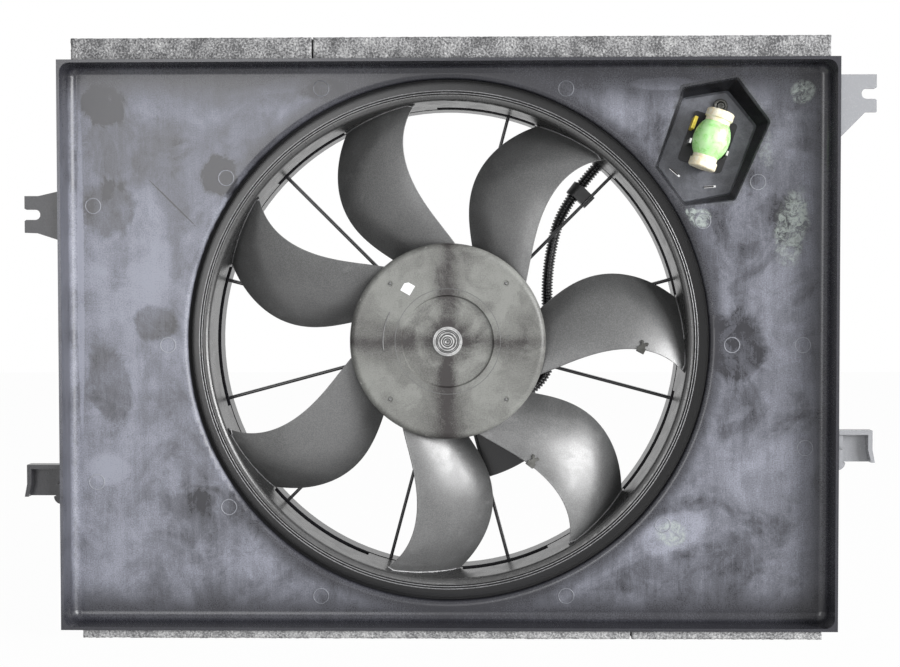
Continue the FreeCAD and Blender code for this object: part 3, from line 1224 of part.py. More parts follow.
def main():
    """Build every node and write it to its own file."""
    os.makedirs("parts", exist_ok=True)
    for name, build in NODES.items():
        shape = build()
        if not shape.isValid():
            print("invalid:", name)
        print("%-22s %d solid(s) %10.0f cubic mm" % (name, len(shape.Solids), shape.Volume))
        shape.exportStep("parts/%s.step" % name)


main()
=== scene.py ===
"""Radiator fan: the looks of the module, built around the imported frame."""

import logging
import math
from dataclasses import dataclass
from enum import Enum
from itertools import product
from typing import ClassVar

import bmesh
import bpy
from mathutils import Matrix, Quaternion, Vector, noise

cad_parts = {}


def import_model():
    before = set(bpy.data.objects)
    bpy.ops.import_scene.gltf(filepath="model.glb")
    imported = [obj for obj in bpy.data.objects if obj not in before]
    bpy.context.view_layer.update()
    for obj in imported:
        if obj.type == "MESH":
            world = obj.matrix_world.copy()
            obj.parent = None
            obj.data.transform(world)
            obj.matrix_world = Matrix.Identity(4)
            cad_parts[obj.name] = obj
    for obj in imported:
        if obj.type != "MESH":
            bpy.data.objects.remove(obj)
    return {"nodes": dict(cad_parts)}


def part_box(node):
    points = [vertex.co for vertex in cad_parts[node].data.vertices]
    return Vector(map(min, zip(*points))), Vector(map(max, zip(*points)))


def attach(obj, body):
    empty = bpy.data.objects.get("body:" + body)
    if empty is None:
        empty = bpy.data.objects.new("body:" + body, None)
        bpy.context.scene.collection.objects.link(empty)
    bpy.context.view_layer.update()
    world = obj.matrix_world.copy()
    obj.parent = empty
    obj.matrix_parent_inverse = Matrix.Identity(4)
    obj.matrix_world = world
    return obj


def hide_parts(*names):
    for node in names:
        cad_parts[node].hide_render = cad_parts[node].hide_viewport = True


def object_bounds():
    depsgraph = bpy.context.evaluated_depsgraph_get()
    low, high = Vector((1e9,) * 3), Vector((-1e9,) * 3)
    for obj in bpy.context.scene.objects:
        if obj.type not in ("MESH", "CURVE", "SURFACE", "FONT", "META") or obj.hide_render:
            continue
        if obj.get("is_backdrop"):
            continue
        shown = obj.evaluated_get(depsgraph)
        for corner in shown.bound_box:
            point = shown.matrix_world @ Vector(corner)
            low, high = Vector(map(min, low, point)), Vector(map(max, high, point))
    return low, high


LOG = logging.getLogger("radiator_fan")
MM = 0.001
FLOOR_GAP = 0.5 * MM
NOISE_SEED = 7
AXIS = Vector((0.0, 0.0, 0.0))

Colour = tuple[float, float, float]
Point = tuple[float, float, float]
Stops = tuple[tuple[float, Colour], ...]


class Body(Enum):
    """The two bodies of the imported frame."""

    SHROUD = "shroud"
    FAN = "fan"


class Graph:
    """Node graph of one material, with short calls for the nodes that the finishes use."""

    def __init__(self, name: str) -> None:
        """Starts a material with a Principled shader.

        Args:
            name: Name of the material.
        """
        self.material = bpy.data.materials.new(name)
        self.material.use_nodes = True
        self.nodes = self.material.node_tree.nodes
        self.links = self.material.node_tree.links
        self.shader = self.nodes["Principled BSDF"]
        self.place = self.add("ShaderNodeTexCoord").outputs["Object"]

    def add(self, kind: str, **settings: object) -> bpy.types.Node:
        """Adds a node and sets its properties.

        Args:
            kind: Blender's name of the node type.
            settings: Properties of the node.

        Returns:
            The new node.
        """
        node = self.nodes.new(kind)
        for key, value in settings.items():
            setattr(node, key, value)
        return node

    def feed(self, socket: bpy.types.NodeSocket, value: object) -> None:
        """Links an output to a socket, or writes a constant on it.

        Args:
            socket: Input that takes the value.
            value: Output socket, number or colour.
        """
        if isinstance(value, bpy.types.NodeSocket):
            self.links.new(value, socket)
        elif isinstance(value, tuple) and socket.type == "RGBA":
            socket.default_value = (*value, 1.0)
        else:
            socket.default_value = value

    def wire(self, kind: str, feeds: dict[str | int, object], output: str | int = 0,
             **settings: object) -> bpy.types.NodeSocket:
        """Adds a node, feeds its inputs and hands out one of its outputs.

        Args:
            kind: Blender's name of the node type.
            feeds: Value of each input, by name or place.
            output: Name or place of the output.
            settings: Properties of the node.

        Returns:
            The output.
        """
        node = self.add(kind, **settings)
        for key, value in feeds.items():
            self.feed(node.inputs[key], value)
        return node.outputs[output]

    def stretched(self, scale: Point, turn: Point = (0.0, 0.0, 0.0)) -> bpy.types.NodeSocket:
        """Object coordinates, turned and scaled.

        Args:
            scale: Scale along each axis.
            turn: Rotation in radians.

        Returns:
            Vector output.
        """
        return self.wire("ShaderNodeMapping", {"Vector": self.place, "Scale": scale,
                                               "Rotation": turn}, vector_type="POINT")

    def noise(self, scale: float, detail: float = 4.0, rough: float = 0.5, warp: float = 0.0,
              vector: bpy.types.NodeSocket | None = None) -> bpy.types.NodeSocket:
        """Fractal noise.

        Args:
            scale: Features per metre.
            detail: Octaves.
            rough: Weight of the fine octaves.
            warp: Distortion.
            vector: Coordinates, or None for the object's own.

        Returns:
            Value output from 0 to 1.
        """
        return self.wire("ShaderNodeTexNoise", {
            "Vector": vector or self.place, "Scale": scale, "Detail": detail, "Roughness": rough,
            "Distortion": warp}, "Fac")

    def cells(self, scale: float) -> bpy.types.NodeSocket:
        """Distance to the nearest cell's middle.

        Args:
            scale: Cells per metre.

        Returns:
            Value output.
        """
        return self.wire("ShaderNodeTexVoronoi", {"Vector": self.place, "Scale": scale}, "Distance")

    def ramp(self, value: bpy.types.NodeSocket, stops: Stops) -> bpy.types.NodeSocket:
        """Colour ramp.

        Args:
            value: What picks the colour.
            stops: Place and colour of each stop.

        Returns:
            Colour output.
        """
        node = self.add("ShaderNodeValToRGB")
        bar = node.color_ramp.elements
        while len(bar) < len(stops):
            bar.new(0.5)
        for element, (position, colour) in zip(bar, stops):
            element.position = position
            element.color = (*colour, 1.0)
        self.feed(node.inputs["Fac"], value)
        return node.outputs["Color"]

    def span(self, value: bpy.types.NodeSocket, low: float, high: float, to_low: float = 0.0,
             to_high: float = 1.0) -> bpy.types.NodeSocket:
        """Value mapped from one range to another, held at the ends.

        Args:
            value: Input value.
            low: Start of its range.
            high: End of its range.
            to_low: What the start becomes.
            to_high: What the end becomes.

        Returns:
            Value output.
        """
        return self.wire("ShaderNodeMapRange", {
            "Value": value, "From Min": low, "From Max": high, "To Min": to_low,
            "To Max": to_high}, "Result", interpolation_type="SMOOTHSTEP")

    def math(self, operation: str, first: object, second: object,
             third: object = 0.0) -> bpy.types.NodeSocket:
        """Result of a math node.

        Args:
            operation: Blender's name of the operation.
            first: First value.
            second: Second value.
            third: Third value, for operations that take one.

        Returns:
            Value output.
        """
        return self.wire("ShaderNodeMath", {0: first, 1: second, 2: third}, operation=operation)

    def mix(self, share: object, first: object, second: object) -> bpy.types.NodeSocket:
        """Mix of two colours.

        Args:
            share: Weight of the second colour.
            first: First colour.
            second: Second colour.

        Returns:
            Colour output.
        """
        return self.wire("ShaderNodeMix", {0: share, 6: first, 7: second}, 2, data_type="RGBA")

    def axes(self) -> dict[str, bpy.types.NodeSocket]:
        """Separate X, Y and Z of the object coordinates.

        Returns:
            Outputs by name.
        """
        node = self.add("ShaderNodeSeparateXYZ")
        self.feed(node.inputs[0], self.place)
        return {name: node.outputs[name] for name in "XYZ"}

    def radius(self, axes: dict[str, bpy.types.NodeSocket]) -> bpy.types.NodeSocket:
        """Distance from the fan's axis.

        Args:
            axes: Separate coordinates.

        Returns:
            Value output in metres.
        """
        square = self.math("MULTIPLY", axes["Z"], axes["Z"])
        return self.math("SQRT", self.math("MULTIPLY_ADD", axes["X"], axes["X"], square), 0.0)

    def bump(self, height: bpy.types.NodeSocket, strength: float, distance: float,
             base: bpy.types.NodeSocket | None = None) -> bpy.types.NodeSocket:
        """Bumped normal.

        Args:
            height: Height pattern.
            strength: Strength from 0 to 1.
            distance: Height in metres of a full step.
            base: Normal to start from.

        Returns:
            Normal output.
        """
        feeds = {"Strength": strength, "Distance": distance, "Height": height}
        if base is not None:
            feeds["Normal"] = base
        return self.wire("ShaderNodeBump", feeds)

    def set(self, **values: object) -> None:
        """Feeds the shader's sockets, named with underscores for spaces.

        Args:
            values: Socket values or outputs.
        """
        for key, value in values.items():
            self.feed(self.shader.inputs[key.replace("_", " ")], value)


@dataclass(frozen=True)
class Plastic:
    """Moulded plastic with clouds of handling marks, fine grain and streaks."""

    name: str
    dark: Colour
    pale: Colour
    cloud_scale: float = 14.0
    cloud_low: float = 0.42
    cloud_high: float = 0.60
    cloud_warp: float = 0.8
    rough_dark: float = 0.34
    rough_pale: float = 0.55
    grain_scale: float = 1400.0
    grain: float = 0.10
    streak: Point = (6.0, 6.0, 60.0)
    streak_turn: float = 0.5
    streak_share: float = 0.25
    gloss: float = 0.45

    def build(self) -> bpy.types.Material:
        """Makes the material.

        Returns:
            The material.
        """
        g = Graph(self.name)
        cloud = g.noise(self.cloud_scale, 5.0, 0.55, self.cloud_warp)
        patch = g.span(cloud, self.cloud_low, self.cloud_high)
        streaks = g.noise(3.0, 6.0, 0.65, 0.3,
                          g.stretched(self.streak, (0.0, self.streak_turn, 0.0)))
        wiped = g.span(streaks, 0.40, 0.66)
        fine = g.noise(self.grain_scale, 2.0, 0.5)
        amount = g.math("MULTIPLY_ADD", wiped, self.streak_share, g.math("MULTIPLY", patch, 0.8))
        base = g.mix(amount, self.dark, self.pale)
        speck = g.span(g.noise(self.grain_scale * 0.35, 3.0, 0.7), 0.62, 0.75)
        base = g.mix(g.math("MULTIPLY", speck, 0.18), base, self.pale)
        rough = g.span(amount, 0.0, 1.0, self.rough_dark, self.rough_pale)
        normal = g.bump(fine, self.grain, 0.00006)
        normal = g.bump(cloud, 0.25, 0.0012, normal)
        g.set(Base_Color=base, Roughness=rough, Normal=normal, Specular_IOR_Level=self.gloss)
        return g.material


@dataclass(frozen=True)
class Smudge:
    """A soft patch of more or less haze on the shroud's front, with its sizes in millimetres."""

    across: float
    up: float
    wide: float
    high: float
    turn: float
    amount: float


@dataclass(frozen=True)
class Hazed:
    """Black plastic under a bluish haze: wiped clouds, smudges and fine grain, with painted shade along
    the borders, on the walls, round the mouth and in the recesses, and painted light that makes it paler
    towards the left.
    """

    name: str
    clean: Colour
    hazy: Colour
    smudges: tuple[Smudge, ...] = ()
    dust: tuple[Smudge, ...] = ()
    level: float = 0.62
    floor_haze: float = 0.0
    floor_depth: float = 48.0
    painted_recess_colour: Colour = (0.010, 0.010, 0.012)
    dusty: Colour = (0.40, 0.45, 0.42)
    gloss: float = 0.5

    def patch(self, g: Graph, smudge: Smudge, wander: bpy.types.NodeSocket) -> bpy.types.NodeSocket:
        """Strength of one smudge.

        Args:
            g: Graph that takes the nodes.
            smudge: The smudge.
            wander: Noise that frays its edge.

        Returns:
            Value output.
        """
        centre = (smudge.across * MM, 0.0, smudge.up * MM)
        moved = g.wire("ShaderNodeVectorMath", {0: g.place, 1: centre}, operation="SUBTRACT")
        turn = (0.0, math.radians(smudge.turn), 0.0)
        turned = g.wire("ShaderNodeMapping", {"Vector": moved, "Rotation": turn},
                        vector_type="POINT")
        unit = (1.0 / (smudge.wide * MM), 0.0, 1.0 / (smudge.high * MM))
        fitted = g.wire("ShaderNodeVectorMath", {0: turned, 1: unit}, operation="MULTIPLY")
        size = g.wire("ShaderNodeVectorMath", {0: fitted}, "Value", operation="LENGTH")
        edge = g.math("MULTIPLY_ADD", wander, 1.1, size)
        return g.span(edge, 1.25, 1.60, smudge.amount, 0.0)

    def build(self) -> bpy.types.Material:
        """Makes the material.

        Returns:
            The material.
        """
        g = Graph(self.name)
        axes = g.axes()
        cloud = g.noise(11.0, 6.0, 0.6, 1.2)
        wander = g.noise(38.0, 6.0, 0.7, 0.6)
        wiped = g.noise(3.0, 7.0, 0.75, 0.3, g.stretched((26.0, 26.0, 3.4), (0.0, 0.10, 0.0)))
        blotch = g.noise(24.0, 7.0, 0.66, 0.9)
        rubs = g.noise(4.0, 5.0, 0.7, 0.2, g.stretched((210.0, 210.0, 13.0), (0.0, -0.5, 0.0)))
        grit = g.noise(900.0, 3.0, 0.8)
        # Painted light: the haze falls off from left to right, so the left of the panel reads paler.
        amount = g.span(axes["X"], -0.31, 0.12, self.level - 0.36, self.level - 0.56)
        for pattern, low, high, share in ((cloud, 0.41, 0.59, 0.28), (wiped, 0.38, 0.62, 0.16),
                                          (wander, 0.44, 0.57, 0.12), (blotch, 0.47, 0.55, 0.12),
                                          (rubs, 0.55, 0.70, 0.14)):
            amount = g.math("MULTIPLY_ADD", g.span(pattern, low, high), share, amount)
        for smudge in self.smudges:
            amount = g.math("ADD", amount, self.patch(g, smudge, wander))
        ring = g.radius(axes)
        loose = g.math("MULTIPLY_ADD", wander, 0.012, -0.006)
        high, wide = (g.math("ADD", axes[name], loose) for name in "ZX")
        # Painted shade round the mouth: the haze fades near the ring, except on the left side.
        mouth_shade_mask = g.math("MAXIMUM", g.span(ring, 0.2235, 0.236, 0.15, 1.0),
                        g.span(axes["X"], -0.196, -0.150, 1.0, 0.0))
        amount = g.math("MULTIPLY", amount, mouth_shade_mask)
        # Painted shadow of the walls: the haze fades towards the top, bottom and right borders.
        for value, low, top, *ends in ((high, 0.190, 0.222, 1.0, 0.12),
                                       (high, -0.230, -0.200, 0.12, 1.0),
                                       (wide, 0.296, 0.317, 1.0, 0.12)):
            amount = g.math("MULTIPLY", amount, g.span(value, low, top, *ends))
        # Painted shade in the recesses: deeper surfaces lose the haze and turn near black.
        recess_shade_mask = g.span(axes["Y"], 0.0312, 0.0345, 1.0, 0.0)
        # Painted shade on the tray's walls: surfaces nearer the front keep only a third of the haze.
        front = g.span(axes["Y"], 0.020, 0.0295, 0.32, 1.0)
        amount = g.math("MULTIPLY", g.math("MULTIPLY", amount, recess_shade_mask), front)
        fleck = g.math("MULTIPLY", g.math("SUBTRACT", grit, 0.5), 2.6)
        speckle = g.math("MULTIPLY", g.math("MULTIPLY_ADD", amount, 0.8, 0.12), recess_shade_mask)
        amount = g.math("MULTIPLY_ADD", fleck, speckle, amount)
        if self.floor_haze:
            floor = g.span(axes["Y"], self.floor_depth * MM, (self.floor_depth + 1.0) * MM)
            worn = g.math("MULTIPLY_ADD", g.span(wander, 0.40, 0.60), 0.5, 0.6)
            worn = g.math("MULTIPLY_ADD", fleck, 0.4, worn)
            amount = g.math("MULTIPLY_ADD", g.math("MULTIPLY", floor, self.floor_haze), worn, amount)
        # The near-black recess colour is painted shade.
        shade = g.mix(recess_shade_mask, self.painted_recess_colour, self.clean)
        base = g.mix(amount, shade, self.hazy)
        for smudge in self.dust:
            cover = g.math("MULTIPLY", self.patch(g, smudge, blotch),
                           g.span(g.noise(190.0, 5.0, 0.75, 1.2), 0.40, 0.62, 0.05, 1.0))
            base = g.mix(cover, base, self.dusty)
        normal = g.bump(g.noise(1400.0, 2.0, 0.5), 0.12, 0.00006)
        normal = g.bump(wander, 0.15, 0.0005, normal)
        g.set(Base_Color=base, Roughness=g.span(amount, 0.0, 0.8, 0.27, 0.50), Normal=normal,
              Specular_IOR_Level=self.gloss)
        return g.material


@dataclass(frozen=True)
class Satin:
    """Dark satin plastic with a fine spark grain and faint flow clouds."""

    name: str
    dark: Colour
    pale: Colour
    gloss: float = 0.75
    rough_low: float = 0.33
    rough_high: float = 0.44

    def build(self) -> bpy.types.Material:
        """Makes the material.

        Returns:
            The material.
        """
        g = Graph(self.name)
        flow = g.noise(9.0, 4.0, 0.55, 0.6)
        scuff = g.noise(60.0, 5.0, 0.7, 0.5)
        grit = g.noise(1100.0, 3.0, 0.8)
        amount = g.math("MULTIPLY_ADD", g.span(flow, 0.35, 0.65), 0.40,
                        g.math("MULTIPLY", g.span(grit, 0.42, 0.60), 0.60))
        amount = g.math("MULTIPLY_ADD", g.span(scuff, 0.58, 0.72), 0.35, amount)
        g.set(Base_Color=g.mix(amount, self.dark, self.pale),
              Roughness=g.span(scuff, 0.4, 0.7, self.rough_low, self.rough_high),
              Normal=g.bump(g.noise(1500.0, 2.0, 0.6), 0.14, 0.00005),
              Specular_IOR_Level=self.gloss)
        return g.material


@dataclass(frozen=True)
class HubFace:
    """Fan plastic on the hub: a worn grey face with blotches round the nut, dark streaks in a cross along
    the axes that paint a reflection, and painted shade on its side wall.
    """

    name: str
    dark: Colour
    pale: Colour
    gloss: float = 0.4

    def build(self) -> bpy.types.Material:
        """Makes the material.

        Returns:
            The material.
        """
        g = Graph(self.name)
        axes = g.axes()
        radius = g.radius(axes)
        angle = g.math("ARCTAN2", axes["Z"], axes["X"])
        cloud = g.noise(26.0, 5.0, 0.6, 0.8)
        worn = g.noise(90.0, 4.0, 0.65, 0.4)
        sway = g.math("MULTIPLY_ADD", cloud, 0.010, -0.005)
        # Painted reflection: dark streaks along the axes and a fourfold darkening round the face.
        down = g.span(g.math("ABSOLUTE", g.math("ADD", axes["X"], sway), 0.0), -0.002, 0.0125, 0.50, 0.0)
        flat = g.span(g.math("ABSOLUTE", g.math("ADD", axes["Z"], sway), 0.0), -0.002, 0.0085, 0.34, 0.0)
        cross = g.math("MAXIMUM", down, flat)
        cross = g.math("MULTIPLY", cross, g.span(radius, 0.010, 0.034, 0.35, 1.0))
        wide = g.span(g.math("COSINE", g.math("MULTIPLY", angle, 4.0), 0.0), -0.2, 1.0, 0.0, 0.34)
        nut = g.math("ADD", radius, g.math("MULTIPLY_ADD", cloud, 0.024, -0.012))
        nut = g.span(nut, 0.0115, 0.027, 0.62, 0.0)
        blotch = g.math("MULTIPLY", g.span(cloud, 0.42, 0.58), g.span(radius, 0.012, 0.062, 0.55, 0.26))
        shade = g.math("ADD", g.math("MAXIMUM", cross, nut), g.math("ADD", blotch, wide))
        shade = g.math("MULTIPLY_ADD", g.span(worn, 0.4, 0.62), 0.12, shade)
        grit = g.noise(900.0, 3.0, 0.8)
        shade = g.math("MULTIPLY_ADD", g.math("SUBTRACT", grit, 0.5), 1.3, shade)
        # Painted shade on the hub's side wall, deeper than its face.
        side = g.span(axes["Y"], 0.0225, 0.0255, 0.0, 0.9)
        shade = g.math("MAXIMUM", shade, side)
        fine = g.noise(1600.0, 2.0, 0.5)
        g.set(Base_Color=g.mix(shade, self.pale, self.dark),
              Roughness=g.span(shade, 0.0, 1.0, 0.46, 0.34), Specular_IOR_Level=self.gloss,
              Normal=g.bump(worn, 0.15, 0.0004, g.bump(fine, 0.1, 0.00005)))
        return g.material


@dataclass(frozen=True)
class Metal:
    """Bare or plated metal with rolling streaks, spangle and darker stains."""

    name: str
    bright: Colour
    stained: Colour
    rough_low: float = 0.22
    rough_high: float = 0.48
    spangle: float = 420.0
    streak: Point = (40.0, 400.0, 40.0)
    bump_height: float = 0.00005

    def build(self) -> bpy.types.Material:
        """Makes the material.

        Returns:
            The material.
        """
        g = Graph(self.name)
        grain = g.cells(self.spangle)
        lines = g.noise(4.0, 4.0, 0.6, 0.1, g.stretched(self.streak))
        stain = g.span(g.noise(60.0, 5.0, 0.6, 0.4), 0.45, 0.7)
        shade = g.math("MULTIPLY_ADD", stain, 0.7, g.math("MULTIPLY", grain, 0.3))
        g.set(Base_Color=g.mix(shade, self.bright, self.stained), Metallic=1.0,
              Roughness=g.span(g.math("ADD", lines, g.math("MULTIPLY", stain, 0.3)), 0.3, 0.9,
                               self.rough_low, self.rough_high),
              Normal=g.bump(lines, 0.3, self.bump_height))
        return g.material


@dataclass(frozen=True)
class Turned:
    """Turned steel round the fan's axis: rings from the tool and painted shade as dark rings at the steps
    between the pieces.
    """

    name: str
    dark: Colour = (0.045, 0.045, 0.045)
    grey: Colour = (0.13, 0.13, 0.128)
    bright: Colour = (0.50, 0.50, 0.50)
    steps: tuple[float, ...] = (2.6, 4.0, 6.2, 8.3, 9.5)

    def build(self) -> bpy.types.Material:
        """Makes the material.

        Returns:
            The material.
        """
        g = Graph(self.name)
        ring = g.radius(g.axes())
        across = g.wire("ShaderNodeCombineXYZ", {"X": g.math("MULTIPLY", ring, 1100.0)})
        tool = g.noise(1.0, 3.0, 0.7, 0.0, across)
        stain = g.noise(170.0, 5.0, 0.65, 0.5)
        amount = g.math("MULTIPLY_ADD", g.span(tool, 0.35, 0.65), 0.7,
                        g.math("MULTIPLY", g.span(stain, 0.62, 0.40), 0.35))
        base = g.mix(amount, self.grey, self.bright)
        # Painted shade: a dark ring at each step between the pieces.
        for step in self.steps:
            near = g.math("ABSOLUTE", g.math("SUBTRACT", ring, step * MM), 0.0)
            base = g.mix(g.span(near, 0.0002, 0.0006, 0.9, 0.0), base, self.dark)
        g.set(Base_Color=base, Metallic=1.0, Roughness=g.span(stain, 0.35, 0.7, 0.30, 0.52),
              Normal=g.bump(tool, 0.35, 0.0001))
        return g.material


@dataclass(frozen=True)
class Coated:
    """Matt or glazed mineral and paper surfaces: mottled colour, pores and a soft bump."""

    name: str
    first: Colour
    second: Colour
    mottle: float = 260.0
    pores: float = 1500.0
    pore_colour: Colour = (0.3, 0.3, 0.25)
    pore_share: float = 0.3
    rough_low: float = 0.35
    rough_high: float = 0.6
    bump_height: float = 0.0001
    gloss: float = 0.5

    def build(self) -> bpy.types.Material:
        """Makes the material.

        Returns:
            The material.
        """
        g = Graph(self.name)
        mottle = g.noise(self.mottle, 5.0, 0.6, 0.5)
        base = g.mix(g.span(mottle, 0.38, 0.64), self.first, self.second)
        pore = g.noise(self.pores, 3.0, 0.6)
        base = g.mix(g.math("MULTIPLY", g.span(pore, 0.6, 0.72), self.pore_share), base,
                     self.pore_colour)
        g.set(Base_Color=base, Roughness=g.span(mottle, 0.3, 0.7, self.rough_low, self.rough_high),
              Normal=g.bump(pore, 0.4, self.bump_height), Specular_IOR_Level=self.gloss)
        return g.material


@dataclass(frozen=True)
class Foam:
    """Open cell foam: pale and dark cells side by side, with painted light that makes it paler low on the
    part.
    """

    name: str = "seal foam"
    stops: Stops = ((0.10, (0.09, 0.09, 0.093)), (0.40, (0.22, 0.22, 0.225)),
                    (0.65, (0.33, 0.33, 0.335)), (0.95, (0.50, 0.50, 0.50)))
    cell: float = 620.0

    def build(self) -> bpy.types.Material:
        """Makes the material.

        Returns:
            The material.
        """
        g = Graph(self.name)
        cells = g.noise(self.cell, 4.0, 0.75)
        broad = g.noise(70.0, 3.0, 0.5)
        tone = g.math("MULTIPLY_ADD", broad, 0.35, g.math("MULTIPLY", cells, 0.85))
        pits = g.cells(self.cell * 0.8)
        # Painted light: the foam gets paler towards the bottom.
        low = g.span(g.axes()["Z"], -0.1, 0.1, 0.16, -0.06)
        g.set(Base_Color=g.ramp(g.math("ADD", g.span(tone, 0.42, 0.80), low), self.stops), Roughness=0.95,
              Normal=g.bump(pits, 0.9, 0.0006), Specular_IOR_Level=0.2, Sheen_Weight=0.15)
        return g.material


SMUDGES = tuple(Smudge(*row) for row in (
    (-284, -38, 20, 38, 10, -0.36), (-200, -150, 45, 30, -20, -0.26), (-267, 68, 40, 75, 0, 0.26),
    (-242, 194, 55, 20, -20, 0.12), (-192, 138, 17, 20, -20, -0.62),
    (-288, -108, 20, 15, 0, 0.28), (-275, -183, 40, 28, 30, 0.12), (-216, -91, 20, 60, 15, -0.18),
    (188, -162, 34, 18, 20, 0.36), (241, -4, 30, 32, 0, -0.36), (262, -108, 36, 40, 0, 0.16),
    (287, 97, 18, 24, 10, -0.26), (182, 214, 34, 6, 0, 0.45), (-107, 211, 22, 11, 0, -0.46),
    # The thin tall patch at (-309, 60) is a painted highlight along the left fillet.
    (-136, 214, 26, 7, 8, 0.34), (-309, 60, 3, 150, 0, 0.45), (120, -218, 60, 9, 0, 0.16),
    (-289, 199, 21, 19, 0, -0.56), (-286, 112, 25, 27, 10, -0.50), (-246, 15, 20, 17, 0, -0.52),
    (-262, 160, 48, 34, 0, -0.20), (-231.5, 116.4, 32, 0.7, -44.6, -0.55)))

DUST = tuple(Smudge(*row) for row in (
    (296, 207, 11, 9, 20, 0.75), (287, 95, 14, 36, -8, 0.66), (293, 105, 9, 16, 0, 0.55),
    (210, 102, 11, 9, -20, 0.75), (203, 108, 5, 5, 0, 0.75), (188, -163, 14, 12, 0, 0.7),
    (262, 170, 8, 30, 14, 0.25)))

FINISHES: dict[str, object] = {
    "shroud_plastic": Hazed("shroud plastic", (0.024, 0.024, 0.030), (0.285, 0.295, 0.350), SMUDGES,
                            DUST),
    "pocket_plastic": Hazed("pocket plastic", (0.018, 0.018, 0.021), (0.275, 0.287, 0.330),
                            floor_haze=0.40),
    "fan_plastic": Satin("fan plastic", (0.046, 0.047, 0.047), (0.140, 0.141, 0.142), 1.0),
    "band_plastic": Satin("band plastic", (0.016, 0.016, 0.016), (0.055, 0.055, 0.056), 0.9, 0.26,
                          0.36),
    # Near-black finish for painted shade lines.
    "painted_groove_shade": Satin("painted groove shade", (0.002, 0.002, 0.002), (0.008, 0.008, 0.008), 0.1, 0.6,
                          0.8),
    "pin_plastic": Hazed("pin mark plastic", (0.10, 0.105, 0.12), (0.34, 0.35, 0.39), level=0.9),
    # A paler copy of the fan plastic: painted highlight on the lip beads and tip seams.
    "fan_painted_highlight": Satin("fan plastic with painted highlight", (0.12, 0.12, 0.125), (0.30, 0.30, 0.31), 1.0, 0.22, 0.34),
    "hub_face": HubFace("hub plastic", (0.030, 0.026, 0.026), (0.232, 0.236, 0.222)),
    # One tab plastic in two shades: painted light on the right-hand tabs, painted shade on the left-hand
    # ones.
    "tab_painted_light": Hazed("tab plastic with painted light", (0.27, 0.275, 0.29), (0.52, 0.53, 0.56), level=0.9),
    "tab_painted_shade": Hazed("tab plastic with painted shade", (0.022, 0.022, 0.025), (0.10, 0.10, 0.11), level=0.6),
    "zinc_steel": Metal("zinc steel", (0.40, 0.41, 0.40), (0.16, 0.16, 0.155), 0.28, 0.5),
    "turned_steel": Turned("turned steel"),
    "clip_steel": Metal("clip steel", (0.09, 0.09, 0.085), (0.03, 0.03, 0.028), 0.35, 0.6),
    "shaft_steel": Metal("shaft steel", (0.42, 0.42, 0.43), (0.20, 0.20, 0.20), 0.2, 0.35),
    "motor_steel": Metal("motor steel", (0.56, 0.57, 0.58), (0.33, 0.33, 0.34), 0.3, 0.5),
    "core_steel": Metal("core steel", (0.42, 0.43, 0.45), (0.25, 0.24, 0.23), 0.35, 0.55),
    "bronze": Metal("bronze", (0.62, 0.42, 0.20), (0.35, 0.22, 0.10), 0.3, 0.5),
    "ferrite": Coated("ferrite", (0.03, 0.03, 0.032), (0.06, 0.06, 0.062), 200.0, 1200.0,
                      (0.1, 0.1, 0.1)),
    "copper": Metal("copper", (0.80, 0.38, 0.20), (0.50, 0.20, 0.09), 0.2, 0.4),
    "card_plastic": Coated("card plastic", (0.16, 0.075, 0.03), (0.10, 0.045, 0.02), 300.0, 900.0,
                           (0.3, 0.2, 0.1)),
    "carbon": Coated("carbon", (0.02, 0.02, 0.021), (0.05, 0.05, 0.05), 500.0, 1500.0,
                     (0.12, 0.12, 0.12)),
    "spring_steel": Metal("spring steel", (0.55, 0.56, 0.58), (0.30, 0.28, 0.25), 0.2, 0.35),
    "connector_plastic": Plastic("connector plastic", (0.010, 0.010, 0.011), (0.04, 0.04, 0.043),
                                 gloss=0.3),
    "conduit_plastic": Plastic("conduit plastic", (0.010, 0.010, 0.011), (0.05, 0.05, 0.053),
                               rough_dark=0.22, rough_pale=0.36, gloss=0.8),
    "clip_plastic": Plastic("clip plastic", (0.05, 0.05, 0.052), (0.12, 0.12, 0.125)),
    "ceramic_cream": Coated("cream ceramic", (0.95, 0.91, 0.74), (0.88, 0.76, 0.50), rough_low=0.25,
                            gloss=0.9),
    "coil_green": Coated("green coating", (0.40, 0.86, 0.27), (0.58, 0.95, 0.46), 180.0, 900.0,
                         (0.9, 1.0, 0.85), rough_low=0.22, rough_high=0.4, gloss=1.0),
    "terminal_tin": Metal("tinned strap", (0.78, 0.78, 0.76), (0.50, 0.50, 0.47)),
    "fuse_yellow": Coated("yellow sleeve", (0.80, 0.66, 0.08), (0.70, 0.52, 0.05)),
    "label_paper": Coated("blank paper", (0.90, 0.90, 0.91), (0.82, 0.82, 0.84), 90.0, 2500.0,
                          (0.6, 0.6, 0.62), 0.1, 0.6, 0.75),
    "seal_foam": Foam(),
}


